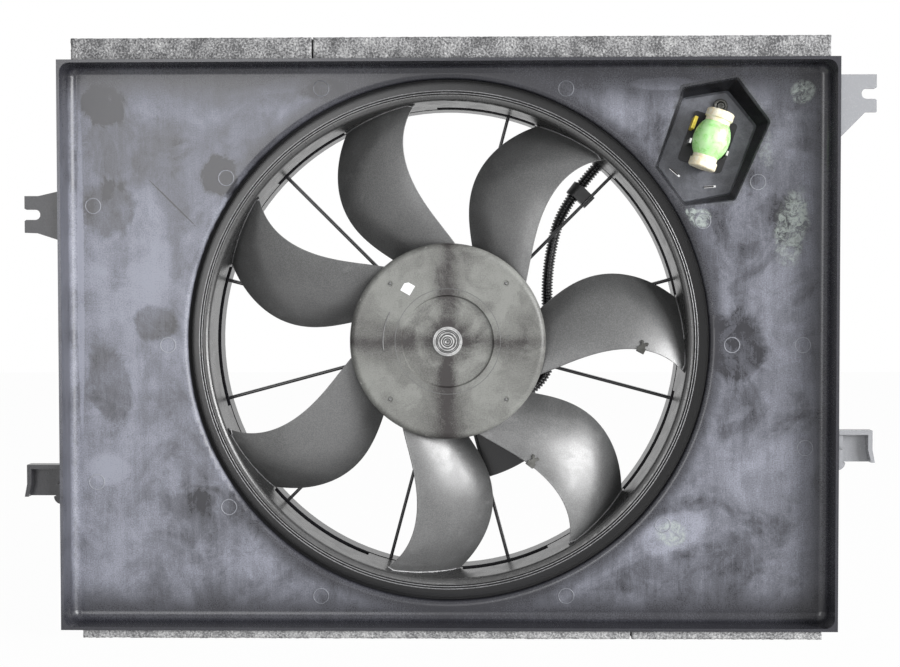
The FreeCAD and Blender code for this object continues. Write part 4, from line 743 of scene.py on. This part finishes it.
class Workshop:
    """What every sub-assembly needs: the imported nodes, the finishes and a way to add pieces."""

    def __init__(self, nodes: dict[str, bpy.types.Object]) -> None:
        """Starts with nothing built.

        Args:
            nodes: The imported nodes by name.
        """
        self.nodes = nodes
        self.built: dict[str, bpy.types.Material] = {}

    def dress(self, node: bpy.types.Object, finish: str) -> None:
        """Puts a finish on every material slot of an object, and builds it the first time.

        Args:
            node: Object to dress.
            finish: Name of the finish.
        """
        if finish not in self.built:
            self.built[finish] = FINISHES[finish].build()
        if not node.data.materials:
            node.data.materials.append(None)
        for i in range(len(node.data.materials)):
            node.data.materials[i] = self.built[finish]

    def add(self, name: str, mesh: bmesh.types.BMesh, finish: str, body: Body,
            replaces: str = "", smooth: bool = True) -> bpy.types.Object:
        """Turns a bmesh into a piece that rides on a body.

        Args:
            name: Name of the piece.
            mesh: The piece's mesh, in the row frame, in metres.
            finish: Name of its finish.
            body: Body that carries it.
            replaces: CAD node that it stands for.
            smooth: Whether its faces are shaded smooth.

        Returns:
            The new object.
        """
        bmesh.ops.recalc_face_normals(mesh, faces=mesh.faces)
        piece = linked(name, filled(name, mesh))
        if smooth:
            piece.data.shade_smooth()
        self.dress(piece, finish)
        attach(piece, body.value)
        if replaces:
            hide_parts(replaces)
        LOG.info("built %s", name)
        return piece


@dataclass
class Assembly:
    """A sub-assembly, with the finishes of its CAD nodes by name."""

    shop: Workshop
    finishes: ClassVar[dict[str, str]] = {}

    def dress(self) -> None:
        """Gives the sub-assembly's CAD nodes their finishes."""
        for node, finish in self.finishes.items():
            self.shop.dress(self.shop.nodes[node], finish)
        LOG.info("dressed %s", type(self).__name__)

    def build(self) -> None:
        """Adds the sub-assembly's own pieces, where it has any."""


def linked(name: str, data: bpy.types.ID) -> bpy.types.Object:
    """New object in the scene.

    Args:
        name: Name of the object.
        data: Its mesh, curve, camera or light.

    Returns:
        The object.
    """
    item = bpy.data.objects.new(name, data)
    bpy.context.scene.collection.objects.link(item)
    return item


def filled(name: str, mesh: bmesh.types.BMesh) -> bpy.types.Mesh:
    """Mesh data from a bmesh, which is freed.

    Args:
        name: Name of the data.
        mesh: The bmesh.

    Returns:
        The mesh data.
    """
    data = bpy.data.meshes.new(name)
    mesh.to_mesh(data)
    mesh.free()
    return data


def polar(radius: float, angle: float, depth: float) -> Vector:
    """Point round the fan's axis.

    Args:
        radius: Distance from the axis, in millimetres.
        angle: Degrees from +X towards +Z.
        depth: Depth along +Y, in millimetres.

    Returns:
        The point in metres.
    """
    a = math.radians(angle)
    return Vector((radius * math.cos(a), depth, radius * math.sin(a))) * MM


def swept(rings: list[list[Vector]], mesh: bmesh.types.BMesh | None = None) -> bmesh.types.BMesh:
    """Closed mesh through rings of points that have as many points each.

    Args:
        rings: The rings, in order.
        mesh: Mesh that takes it, or None for a new one.

    Returns:
        The mesh.
    """
    if mesh is None:
        mesh = bmesh.new()
    rows = [[mesh.verts.new(p) for p in ring] for ring in rings]
    for a, b in zip(rows, rows[1:]):
        for i in range(len(a)):
            j = (i + 1) % len(a)
            mesh.faces.new((a[i], a[j], b[j], b[i]))
    mesh.faces.new(rows[0])
    mesh.faces.new(list(reversed(rows[-1])))
    return mesh


def ring_bead(mesh: bmesh.types.BMesh, centre: Vector, radius: float, width: float,
              seat: float, rise: float, start: float = 0.0, turn: float = 360.0,
              steps: int = 96) -> None:
    """Adds a low bead that runs round a point on a face looking towards -Y.

    Args:
        mesh: Mesh that takes it.
        centre: Centre in metres, its depth unused.
        radius: Radius of the bead's middle, in millimetres.
        width: Width of the bead, in millimetres.
        seat: Depth of the face that it sits on, in millimetres.
        rise: Height of the bead towards -Y, in millimetres.
        start: First angle in degrees.
        turn: Degrees that it runs.
        steps: Pieces round the turn.
    """
    closed = abs(turn) >= 360.0
    section = ((-0.5, 0.02), (-0.3, -0.8), (0.0, -1.0), (0.3, -0.8), (0.5, 0.02))
    rows = []
    for i in range(steps if closed else steps + 1):
        angle = start + turn * i / steps
        row = []
        for side, height in section:
            point = polar(radius + side * width, angle, seat + height * rise)
            row.append(mesh.verts.new((point.x + centre.x, point.y, point.z + centre.z)))
        rows.append(row)
    pairs = list(zip(rows, rows[1:])) + ([(rows[-1], rows[0])] if closed else [])
    for a, b in pairs:
        for i in range(len(section) - 1):
            mesh.faces.new((a[i], b[i], b[i + 1], a[i + 1]))
        mesh.faces.new((a[-1], b[-1], b[0], a[0]))
    if not closed:
        mesh.faces.new(rows[0])
        mesh.faces.new(list(reversed(rows[-1])))


@dataclass
class Shroud(Assembly):
    """The shroud moulding: tray, pocket, barrel, struts, brackets and hooks."""

    camera: "Camera"
    panel_depth: float = 30.0
    pin_radius: float = 6.4
    pin_places: tuple[tuple[float, float], ...] = (
        (93, 206), (97, 482), (803, 345), (805, 448), (226, 178), (229, 507), (663, 525),
        (703, 221), (321, 88.5), (566, 88.5), (566, 596), (321, 596), (168, 345), (732, 345),
        (758, 182))

    finishes = {
        "shroud_tray": "shroud_plastic", "shroud_barrel": "shroud_plastic",
        "stator_struts": "shroud_plastic", "stator_ring": "shroud_plastic",
        "stator_web": "shroud_plastic", "resistor_pocket": "pocket_plastic",
        # The left tabs carry painted shade and the right tabs painted light.
        "bracket_upper_left": "tab_painted_shade", "hook_lower_left": "tab_painted_shade",
        "bracket_upper_right": "tab_painted_light", "hook_lower_right": "tab_painted_light"}

    def build(self) -> None:
        """Adds the low rings that the ejector pins left on the panel."""
        mesh = bmesh.new()
        for column, row in self.pin_places:
            ring_bead(mesh, self.camera.on_depth(column, row, self.panel_depth), self.pin_radius,
                      0.9, self.panel_depth, 0.30, steps=32)
        self.shop.add("ejector_pin_marks", mesh, "pin_plastic", Body.SHROUD)


@dataclass
class Fan(Assembly):
    """The fan moulding: hub, blades and band, with its small metal and paper pieces."""

    hub_front: float = 20.0
    lip_front: float = 31.0
    tip_radius: float = 198.6
    dome: tuple[tuple[float, float], ...] = ((1.3, -0.05), (1.25, 0.3), (0.9, 0.55), (0.4, 0.68))
    dome_sides: int = 16
    label_turn: float = 30.0
    label_outline: tuple[tuple[float, float], ...] = (
        (-4.5, 2.0), (-1.8, 4.5), (4.5, 4.5), (4.5, -4.5), (-4.5, -4.5))
    seam_step: float = 1.5
    seam_radius: float = 0.7
    finishes = {
        "fan_blades": "fan_plastic", "fan_band": "band_plastic", "fan_hub": "hub_face",
        "hub_insert": "turned_steel", "fan_washer": "turned_steel", "fan_nut": "turned_steel",
        "shaft_spacer": "zinc_steel", "motor_shaft": "turned_steel",
        "balance_clips": "clip_steel"}

    def build(self) -> None:
        """Adds the marks, domes, label, lip lines and seams."""
        self.hub_marks()
        self.dimple_domes()
        self.label()
        # The paler lip beads paint highlight lines on the lip.
        self.lip_lines("band_lip_beads", "fan_painted_highlight", ((207.4, 0.9, 0.60), (209.4, 0.9, 0.70)))
        # Thin near-black rings paint the shade of grooves on the lip.
        self.lip_lines("band_lip_shade_lines", "painted_groove_shade", ((206.5, 0.8, 0.06), (208.4, 0.9, 0.06)))
        self.tip_seams()

    def hub_marks(self) -> None:
        """Adds faint raised lines on the hub's face: a ring, a crescent and a rounded window."""
        mesh = bmesh.new()
        ring_bead(mesh, AXIS, 43.9, 0.5, self.hub_front, 0.07)
        ring_bead(mesh, AXIS, 54.0, 1.1, self.hub_front, 0.30, 153.0, 35.0, 24)
        wide, high, corner = 8.7, 6.2, 4.0
        for quarter, (side, up) in enumerate(((1, 1), (-1, 1), (-1, -1), (1, -1))):
            spot = Vector((57.7 + side * (wide - corner), 0.0, -0.9 + up * (high - corner))) * MM
            ring_bead(mesh, spot, corner, 0.5, self.hub_front, 0.10, quarter * 90.0, 90.0, 8)
        self.shop.add("hub_face_marks", mesh, "fan_plastic", Body.FAN)

    def dimple_domes(self) -> None:
        """Adds small domes that stand in the four dimples of the hub's face."""
        mesh = bmesh.new()
        turns = [math.tau * k / self.dome_sides for k in range(self.dome_sides)]
        for i in range(4):
            spot = polar(68.3, 45.0 + 90.0 * i, self.hub_front + 0.8)
            swept([[spot + Vector((radius * math.cos(turn), -rise, radius * math.sin(turn))) * MM
                    for turn in turns] for radius, rise in self.dome], mesh)
        self.shop.add("hub_dimple_domes", mesh, "fan_plastic", Body.FAN)

    def label(self) -> None:
        """Adds the blank white label with one corner cut, in place of the plain square."""
        near, far = [Vector(corner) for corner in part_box("hub_label")]
        middle = (near + far) / 2
        turn = math.radians(self.label_turn)
        rows = [[Vector((middle.x + (x * math.cos(turn) + z * math.sin(turn)) * MM, depth,
                         middle.z + (z * math.cos(turn) - x * math.sin(turn)) * MM))
                 for x, z in self.label_outline] for depth in (near.y, far.y - 0.00002)]
        self.shop.add("blank_label", swept(rows), "label_paper", Body.FAN, "hub_label", False)

    def lip_lines(self, name: str, finish: str, lines: tuple[Point, ...]) -> None:
        """Adds thin lines that run round the front lip of the band.

        Args:
            name: Name of the piece.
            finish: Name of its finish.
            lines: Radius, width and rise of each line, in millimetres.
        """
        mesh = bmesh.new()
        for radius, width, rise in lines:
            ring_bead(mesh, AXIS, radius, width, self.lip_front, rise, steps=240)
        self.shop.add(name, mesh, finish, Body.FAN)

    def tip_seams(self) -> None:
        """Adds thin rounds where the blades' front faces run into the band, in a paler plastic that
        paints a highlight along them.
        """
        places: dict[int, Vector] = {}
        for vertex in self.shop.nodes["fan_blades"].data.vertices:
            at = vertex.co
            if math.hypot(at.x, at.z) > self.tip_radius * MM:
                step = round(math.degrees(math.atan2(at.z, at.x)) % 360.0 / self.seam_step)
                if step not in places or at.y < places[step].y:
                    places[step] = at.copy()
        runs: list[list[Vector]] = []
        last = None
        for step in sorted(places):
            if last is None or step - last > 3:
                runs.append([])
            runs[-1].append(places[step])
            last = step
        mesh = bmesh.new()
        for run in runs:
            if len(run) > 3:
                line = Line(run)
                swept([line.ring(mark, self.seam_radius * MM, 8) for mark in line.marks], mesh)
        self.shop.add("blade_tip_seams", mesh, "fan_painted_highlight", Body.FAN)


@dataclass
class Motor(Assembly):
    """The motor and the pieces inside it."""

    finishes = {
        "motor_can": "motor_steel", "motor_flange": "motor_steel", "motor_end_cap": "motor_steel",
        "front_bush": "bronze", "rear_bush": "bronze", "magnets": "ferrite",
        "armature_core": "core_steel", "windings": "copper", "commutator": "copper",
        "brush_card": "card_plastic", "brushes": "carbon", "brush_springs": "spring_steel",
        "motor_screws": "zinc_steel", "motor_socket": "connector_plastic",
        "motor_plug": "connector_plastic"}


@dataclass
class Harness(Assembly):
    """The motor's lead: a corrugated conduit and its clips."""

    route: tuple[Point, ...] = (
        (30.0, 104.5, -54.5), (52.0, 104.5, -54.5), (76.0, 104.5, -45.0), (91.0, 104.5, -22.0),
        (87.5, 104.5, 12.0), (86.0, 104.5, 46.0), (90.0, 104.5, 80.0), (99.0, 104.5, 112.0),
        (128.0, 104.5, 150.0), (154.0, 101.5, 174.0), (182.8, 81.5, 191.6), (207.3, 81.5, 182.9))
    crest: float = 5.0
    root: float = 3.8
    pitch: float = 2.7
    sides: int = 20

    finishes = {"conduit_clips": "clip_plastic"}

    def centreline(self) -> list[Vector]:
        """Points along the smooth curve through the route.

        Returns:
            Points in metres, close together.
        """
        curve = bpy.data.curves.new("route", "CURVE")
        curve.dimensions = "3D"
        spline = curve.splines.new("NURBS")
        spline.points.add(len(self.route) - 1)
        for point, place in zip(spline.points, self.route):
            point.co = (*(Vector(place) * MM), 1.0)
        spline.order_u = 3
        spline.use_endpoint_u = True
        spline.resolution_u = 24
        carrier = linked("route", curve)
        bpy.context.view_layer.update()
        mesh = bpy.data.meshes.new_from_object(carrier)
        points = [v.co.copy() for v in mesh.vertices]
        bpy.data.objects.remove(carrier)
        bpy.data.meshes.remove(mesh)
        bpy.data.curves.remove(curve)
        return points

    def build(self) -> None:
        """Adds the corrugated conduit."""
        line = Line(self.centreline())
        wave = ((0.0, self.root), (0.18, self.root), (0.36, self.crest), (0.82, self.crest))
        count = int(line.length / (self.pitch * MM))
        rings = []
        for i in range(count):
            for share, radius in wave:
                rings.append(line.ring((i + share) * self.pitch * MM, radius * MM, self.sides))
        rings.append(line.ring(line.length, self.root * MM, self.sides))
        self.shop.add("conduit_corrugated", swept(rings), "conduit_plastic", Body.SHROUD,
                      "harness_conduit")


class Line:
    """A run of points with a frame that doesn't twist along it."""

    def __init__(self, points: list[Vector]) -> None:
        """Measures the run.

        Args:
            points: Points along it, in metres.
        """
        self.points = points
        self.marks = [0.0]
        for a, b in zip(points, points[1:]):
            self.marks.append(self.marks[-1] + (b - a).length)
        self.length = self.marks[-1]
        tangent = (points[1] - points[0]).normalized()
        side = tangent.orthogonal().normalized()
        self.frames = []
        for i in range(len(points)):
            ahead = points[min(i + 1, len(points) - 1)] - points[max(i - 1, 0)]
            ahead.normalize()
            side = (side - ahead * side.dot(ahead)).normalized()
            self.frames.append((side.copy(), ahead.cross(side)))

    def ring(self, mark: float, radius: float, sides: int) -> list[Vector]:
        """Circle of points square to the run.

        Args:
            mark: Distance along the run, in metres.
            radius: Radius in metres.
            sides: Number of points.

        Returns:
            The points.
        """
        i = 0
        while i < len(self.marks) - 2 and self.marks[i + 1] < mark:
            i += 1
        share = (mark - self.marks[i]) / max(self.marks[i + 1] - self.marks[i], 1e-9)
        centre = self.points[i].lerp(self.points[i + 1], min(max(share, 0.0), 1.0))
        side, up = self.frames[i]
        return [centre + (side * math.cos(math.tau * k / sides)
                          + up * math.sin(math.tau * k / sides)) * radius for k in range(sides)]


@dataclass
class Resistor(Assembly):
    """The speed resistor in its pocket."""

    drains: tuple[tuple[float, ...], ...] = ((192.5, 142.4, 9.2, 41.0, -1.0),
                                             (222.4, 130.1, 8.2, -4.0, -1.0))
    bar_depth: float = 51.3
    bar_bevel: float = 0.18
    finishes = {
        "resistor_base": "connector_plastic", "resistor_core": "ceramic_cream",
        "resistor_coil": "coil_green", "resistor_terminals": "terminal_tin",
        "thermal_fuse": "fuse_yellow", "resistor_screw": "clip_steel",
        "resistor_plug": "connector_plastic", "supply_pins": "terminal_tin"}

    def build(self) -> None:
        """Adds the ear's ring and the dark bars of painted shade in the slots."""
        self.ear_ring()
        self.slot_shade_bars()

    def ear_ring(self) -> None:
        """Adds the pressed steel ring under the screw's head."""
        near, far = [Vector(corner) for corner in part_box("resistor_screw")]
        mesh = bmesh.new()
        seat = near.y / MM + 1.8
        for radius, width, rise in ((4.6, 3.0, 1.0), (5.6, 0.9, 1.5)):
            ring_bead(mesh, (near + far) / 2, radius, width, seat, rise, steps=40)
        self.shop.add("resistor_ear_ring", mesh, "clip_steel", Body.SHROUD)

    def slot_shade_bars(self) -> None:
        """Adds the dark bars that fill most of the two drain slots in the pocket's floor, as painted
        shade.
        """
        mesh = bmesh.new()
        for across, up, length, turn, side in self.drains:
            spin = Matrix.Rotation(math.radians(turn), 3, "Y")
            for k in range(2):
                box = bmesh.ops.create_cube(mesh, size=1.0)["verts"]
                size = (length, 1.1 + 0.6 * k, 0.5 + 0.7 * (1 - k))
                for v in box:
                    local = Vector((v.co.x * size[0] + side * 1.3, v.co.y * size[1],
                                    v.co.z * size[2]))
                    v.co = (spin @ local + Vector((across, self.bar_depth, up))) * MM
        bmesh.ops.bevel(mesh, geom=list(mesh.edges), offset=self.bar_bevel * MM, segments=2,
                        profile=0.5, affect="EDGES")
        self.shop.add("drain_slot_painted_shade", mesh, "connector_plastic", Body.SHROUD)


@dataclass
class Seals(Assembly):
    """Foam strips along the top and the bottom of the tray."""

    cell: float = 1.6
    jitter: float = 0.45
    coarse: float = 420.0
    fine: float = 950.0
    fine_share: float = 0.6
    inset: float = 0.5

    def strip(self, name: str, node: str, low: float, high: float) -> None:
        """Adds one strip of foam with rough cut faces.

        Args:
            name: Name of the piece.
            node: CAD node whose box gives the strip's size.
            low: Left end in millimetres.
            high: Right end in millimetres.
        """
        near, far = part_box(node)
        inset = self.inset * MM
        corner = Vector((low * MM + inset, near[1] + inset, near[2]))
        size = Vector((high * MM - inset, far[1] - inset, far[2] - inset)) - corner
        if corner.z < 0:
            corner.z += inset
        mesh = bmesh.new()
        counts = [max(2, round(size[i] / (self.cell * MM))) for i in range(3)]
        verts: dict[tuple[int, int, int], bmesh.types.BMVert] = {}

        def vert(i: int, j: int, k: int) -> bmesh.types.BMVert:
            """Vertex at a place of the strip's grid."""
            if (i, j, k) not in verts:
                at = corner + Vector((size.x * i / counts[0], size.y * j / counts[1],
                                      size.z * k / counts[2]))
                verts[i, j, k] = mesh.verts.new(at)
            return verts[i, j, k]

        for axis in range(3):
            u, v = (axis + 1) % 3, (axis + 2) % 3
            for a, b, end in product(range(counts[u]), range(counts[v]), (0, counts[axis])):
                corners = []
                for at in ((a, b), (a + 1, b), (a + 1, b + 1), (a, b + 1)):
                    place = [end, end, end]
                    place[u], place[v] = at
                    corners.append(vert(*place))
                mesh.faces.new(corners)
        seat = 0 if corner.z > 0 else counts[2]
        for (i, j, k), v in verts.items():
            if k == seat:
                continue
            push = noise.noise_vector(v.co * self.coarse)
            push += noise.noise_vector(v.co * self.fine) * self.fine_share
            v.co += push * self.jitter * MM
        piece = self.shop.add(name, mesh, "seal_foam", Body.SHROUD, node)

    def build(self) -> None:
        """Adds all four lengths of foam."""
        for name, node, low, high in (("foam_top_left", "foam_top", -309.0, -110.2),
                                      ("foam_top_right", "foam_top", -109.8, 313.0),
                                      ("foam_bottom_left", "foam_bottom", -303.0, 150.8),
                                      ("foam_bottom_right", "foam_bottom", 151.2, 308.0)):
            self.strip(name, node, low, high)


@dataclass
class Camera:
    """The photograph's camera."""

    place: Point = (0.0252, -1.2128, 0.0428)
    aim: Point = (0.00236, 0.0, 0.00725)
    roll: float = -0.0016
    lens: float = 59.286
    sensor: float = 36.0
    columns: float = 900.0
    rows: float = 667.0

    def turn(self) -> Quaternion:
        """Rotation from the camera's own axes to the row frame.

        Returns:
            The rotation.
        """
        way = Vector(self.aim) - Vector(self.place)
        return way.to_track_quat("-Z", "Y") @ Quaternion((0.0, 0.0, 1.0), self.roll)

    def on_depth(self, column: float, row: float, depth: float) -> Vector:
        """Point of a plane square to the fan's axis that shows at a pixel of the photograph.

        Args:
            column: Pixel column.
            row: Pixel row.
            depth: Depth of the plane in millimetres.

        Returns:
            The point in metres.
        """
        focal = self.lens / self.sensor * self.columns
        ray = self.turn() @ Vector((column - self.columns / 2, self.rows / 2 - row, -focal))
        place = Vector(self.place)
        return place + ray * ((depth * MM - place.y) / ray.y)

    def build(self) -> None:
        """Makes the camera and sets it."""
        data = bpy.data.cameras.new("camera")
        data.lens = self.lens
        data.sensor_width = self.sensor
        data.clip_start = 0.01
        camera = linked("camera", data)
        camera.location = self.place
        camera.rotation_euler = self.turn().to_euler()
        bpy.context.scene.camera = camera


@dataclass(frozen=True)
class Lamp:
    """A soft box."""

    name: str
    place: Point
    width: float
    height: float
    power: float
    aim: Point = (0.0, 0.03, 0.0)

    def build(self) -> None:
        """Makes the lamp."""
        data = bpy.data.lights.new(self.name, "AREA")
        data.shape = "RECTANGLE"
        data.size = self.width
        data.size_y = self.height
        data.energy = self.power
        lamp = linked(self.name, data)
        lamp.location = self.place
        way = Vector(self.aim) - Vector(self.place)
        lamp.rotation_euler = way.to_track_quat("-Z", "Y").to_euler()


def seen_rays(tree: bpy.types.NodeTree) -> bpy.types.NodeSocket:
    """One for rays from the camera, off a gloss or through glass, and zero for the others.

    Args:
        tree: Node tree that takes the nodes.

    Returns:
        Value output.
    """
    path = tree.nodes.new("ShaderNodeLightPath")
    seen = path.outputs["Is Camera Ray"]
    for name in ("Is Glossy Ray", "Is Transmission Ray"):
        larger = tree.nodes.new("ShaderNodeMath")
        larger.operation = "MAXIMUM"
        tree.links.new(seen, larger.inputs[0])
        tree.links.new(path.outputs[name], larger.inputs[1])
        seen = larger.outputs[0]
    return seen


@dataclass
class Studio:
    """White studio: world, lamps and floor."""

    fill: float = 0.18
    floor_size: float = 8.0
    floor_glow: float = 0.975
    lamps: tuple[Lamp, ...] = (
        Lamp("window", (2.75, -1.7, 0.62), 2.3, 1.9, 178.0),
        Lamp("front", (-0.72, -2.75, 0.15), 1.0, 2.2, 32.0),
    )

    def world(self) -> None:
        """White where it is seen or mirrored, and a soft fill light otherwise."""
        world = bpy.data.worlds.new("white")
        bpy.context.scene.world = world
        world.use_nodes = True
        nodes, links = world.node_tree.nodes, world.node_tree.links
        nodes.clear()
        soft, white = nodes.new("ShaderNodeBackground"), nodes.new("ShaderNodeBackground")
        soft.inputs["Strength"].default_value = self.fill
        white.inputs["Strength"].default_value = 1.0
        for node in (soft, white):
            node.inputs["Color"].default_value = (1.0, 1.0, 1.0, 1.0)
        mix, out = nodes.new("ShaderNodeMixShader"), nodes.new("ShaderNodeOutputWorld")
        links.new(seen_rays(world.node_tree), mix.inputs[0])
        links.new(soft.outputs[0], mix.inputs[1])
        links.new(white.outputs[0], mix.inputs[2])
        links.new(mix.outputs[0], out.inputs["Surface"])

    def floor(self, height: float) -> None:
        """Pale floor that shows white and keeps a faint shadow.

        Args:
            height: Height of the floor in metres.
        """
        mesh = bmesh.new()
        bmesh.ops.create_grid(mesh, x_segments=1, y_segments=1, size=self.floor_size / 2,
                              matrix=Matrix.Translation((0.0, 0.0, height)))
        floor = linked("floor", filled("floor", mesh))
        g = Graph("pale floor")
        g.set(Base_Color=(0.85, 0.85, 0.84), Roughness=0.8, Specular_IOR_Level=0.1)
        share = g.math("MULTIPLY", seen_rays(g.material.node_tree), self.floor_glow)
        blend = g.wire("ShaderNodeMixShader", {
            0: share, 1: g.shader.outputs[0], 2: g.wire("ShaderNodeEmission", {"Strength": 1.0})})
        g.feed(g.nodes["Material Output"].inputs["Surface"], blend)
        floor.data.materials.append(g.material)
        floor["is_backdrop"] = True

    def build(self, floor_height: float) -> None:
        """Builds the whole studio.

        Args:
            floor_height: Height of the floor in metres.
        """
        self.world()
        for lamp in self.lamps:
            lamp.build()
        self.floor(floor_height)
        bpy.context.scene.view_settings.view_transform = "Standard"


def main() -> None:
    """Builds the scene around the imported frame."""
    logging.basicConfig(level=logging.INFO, format="%(message)s")
    noise.seed_set(NOISE_SEED)
    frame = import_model()
    cad_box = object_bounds()
    shop = Workshop(frame["nodes"])
    camera = Camera()
    for part in (Shroud(shop, camera), Fan(shop), Motor(shop), Resistor(shop), Harness(shop),
                 Seals(shop)):
        part.dress()
        part.build()
    camera.build()
    Studio().build(cad_box[0][2] - FLOOR_GAP)
    LOG.info("built the camera and the studio")


if __name__ == "__main__":
    main()
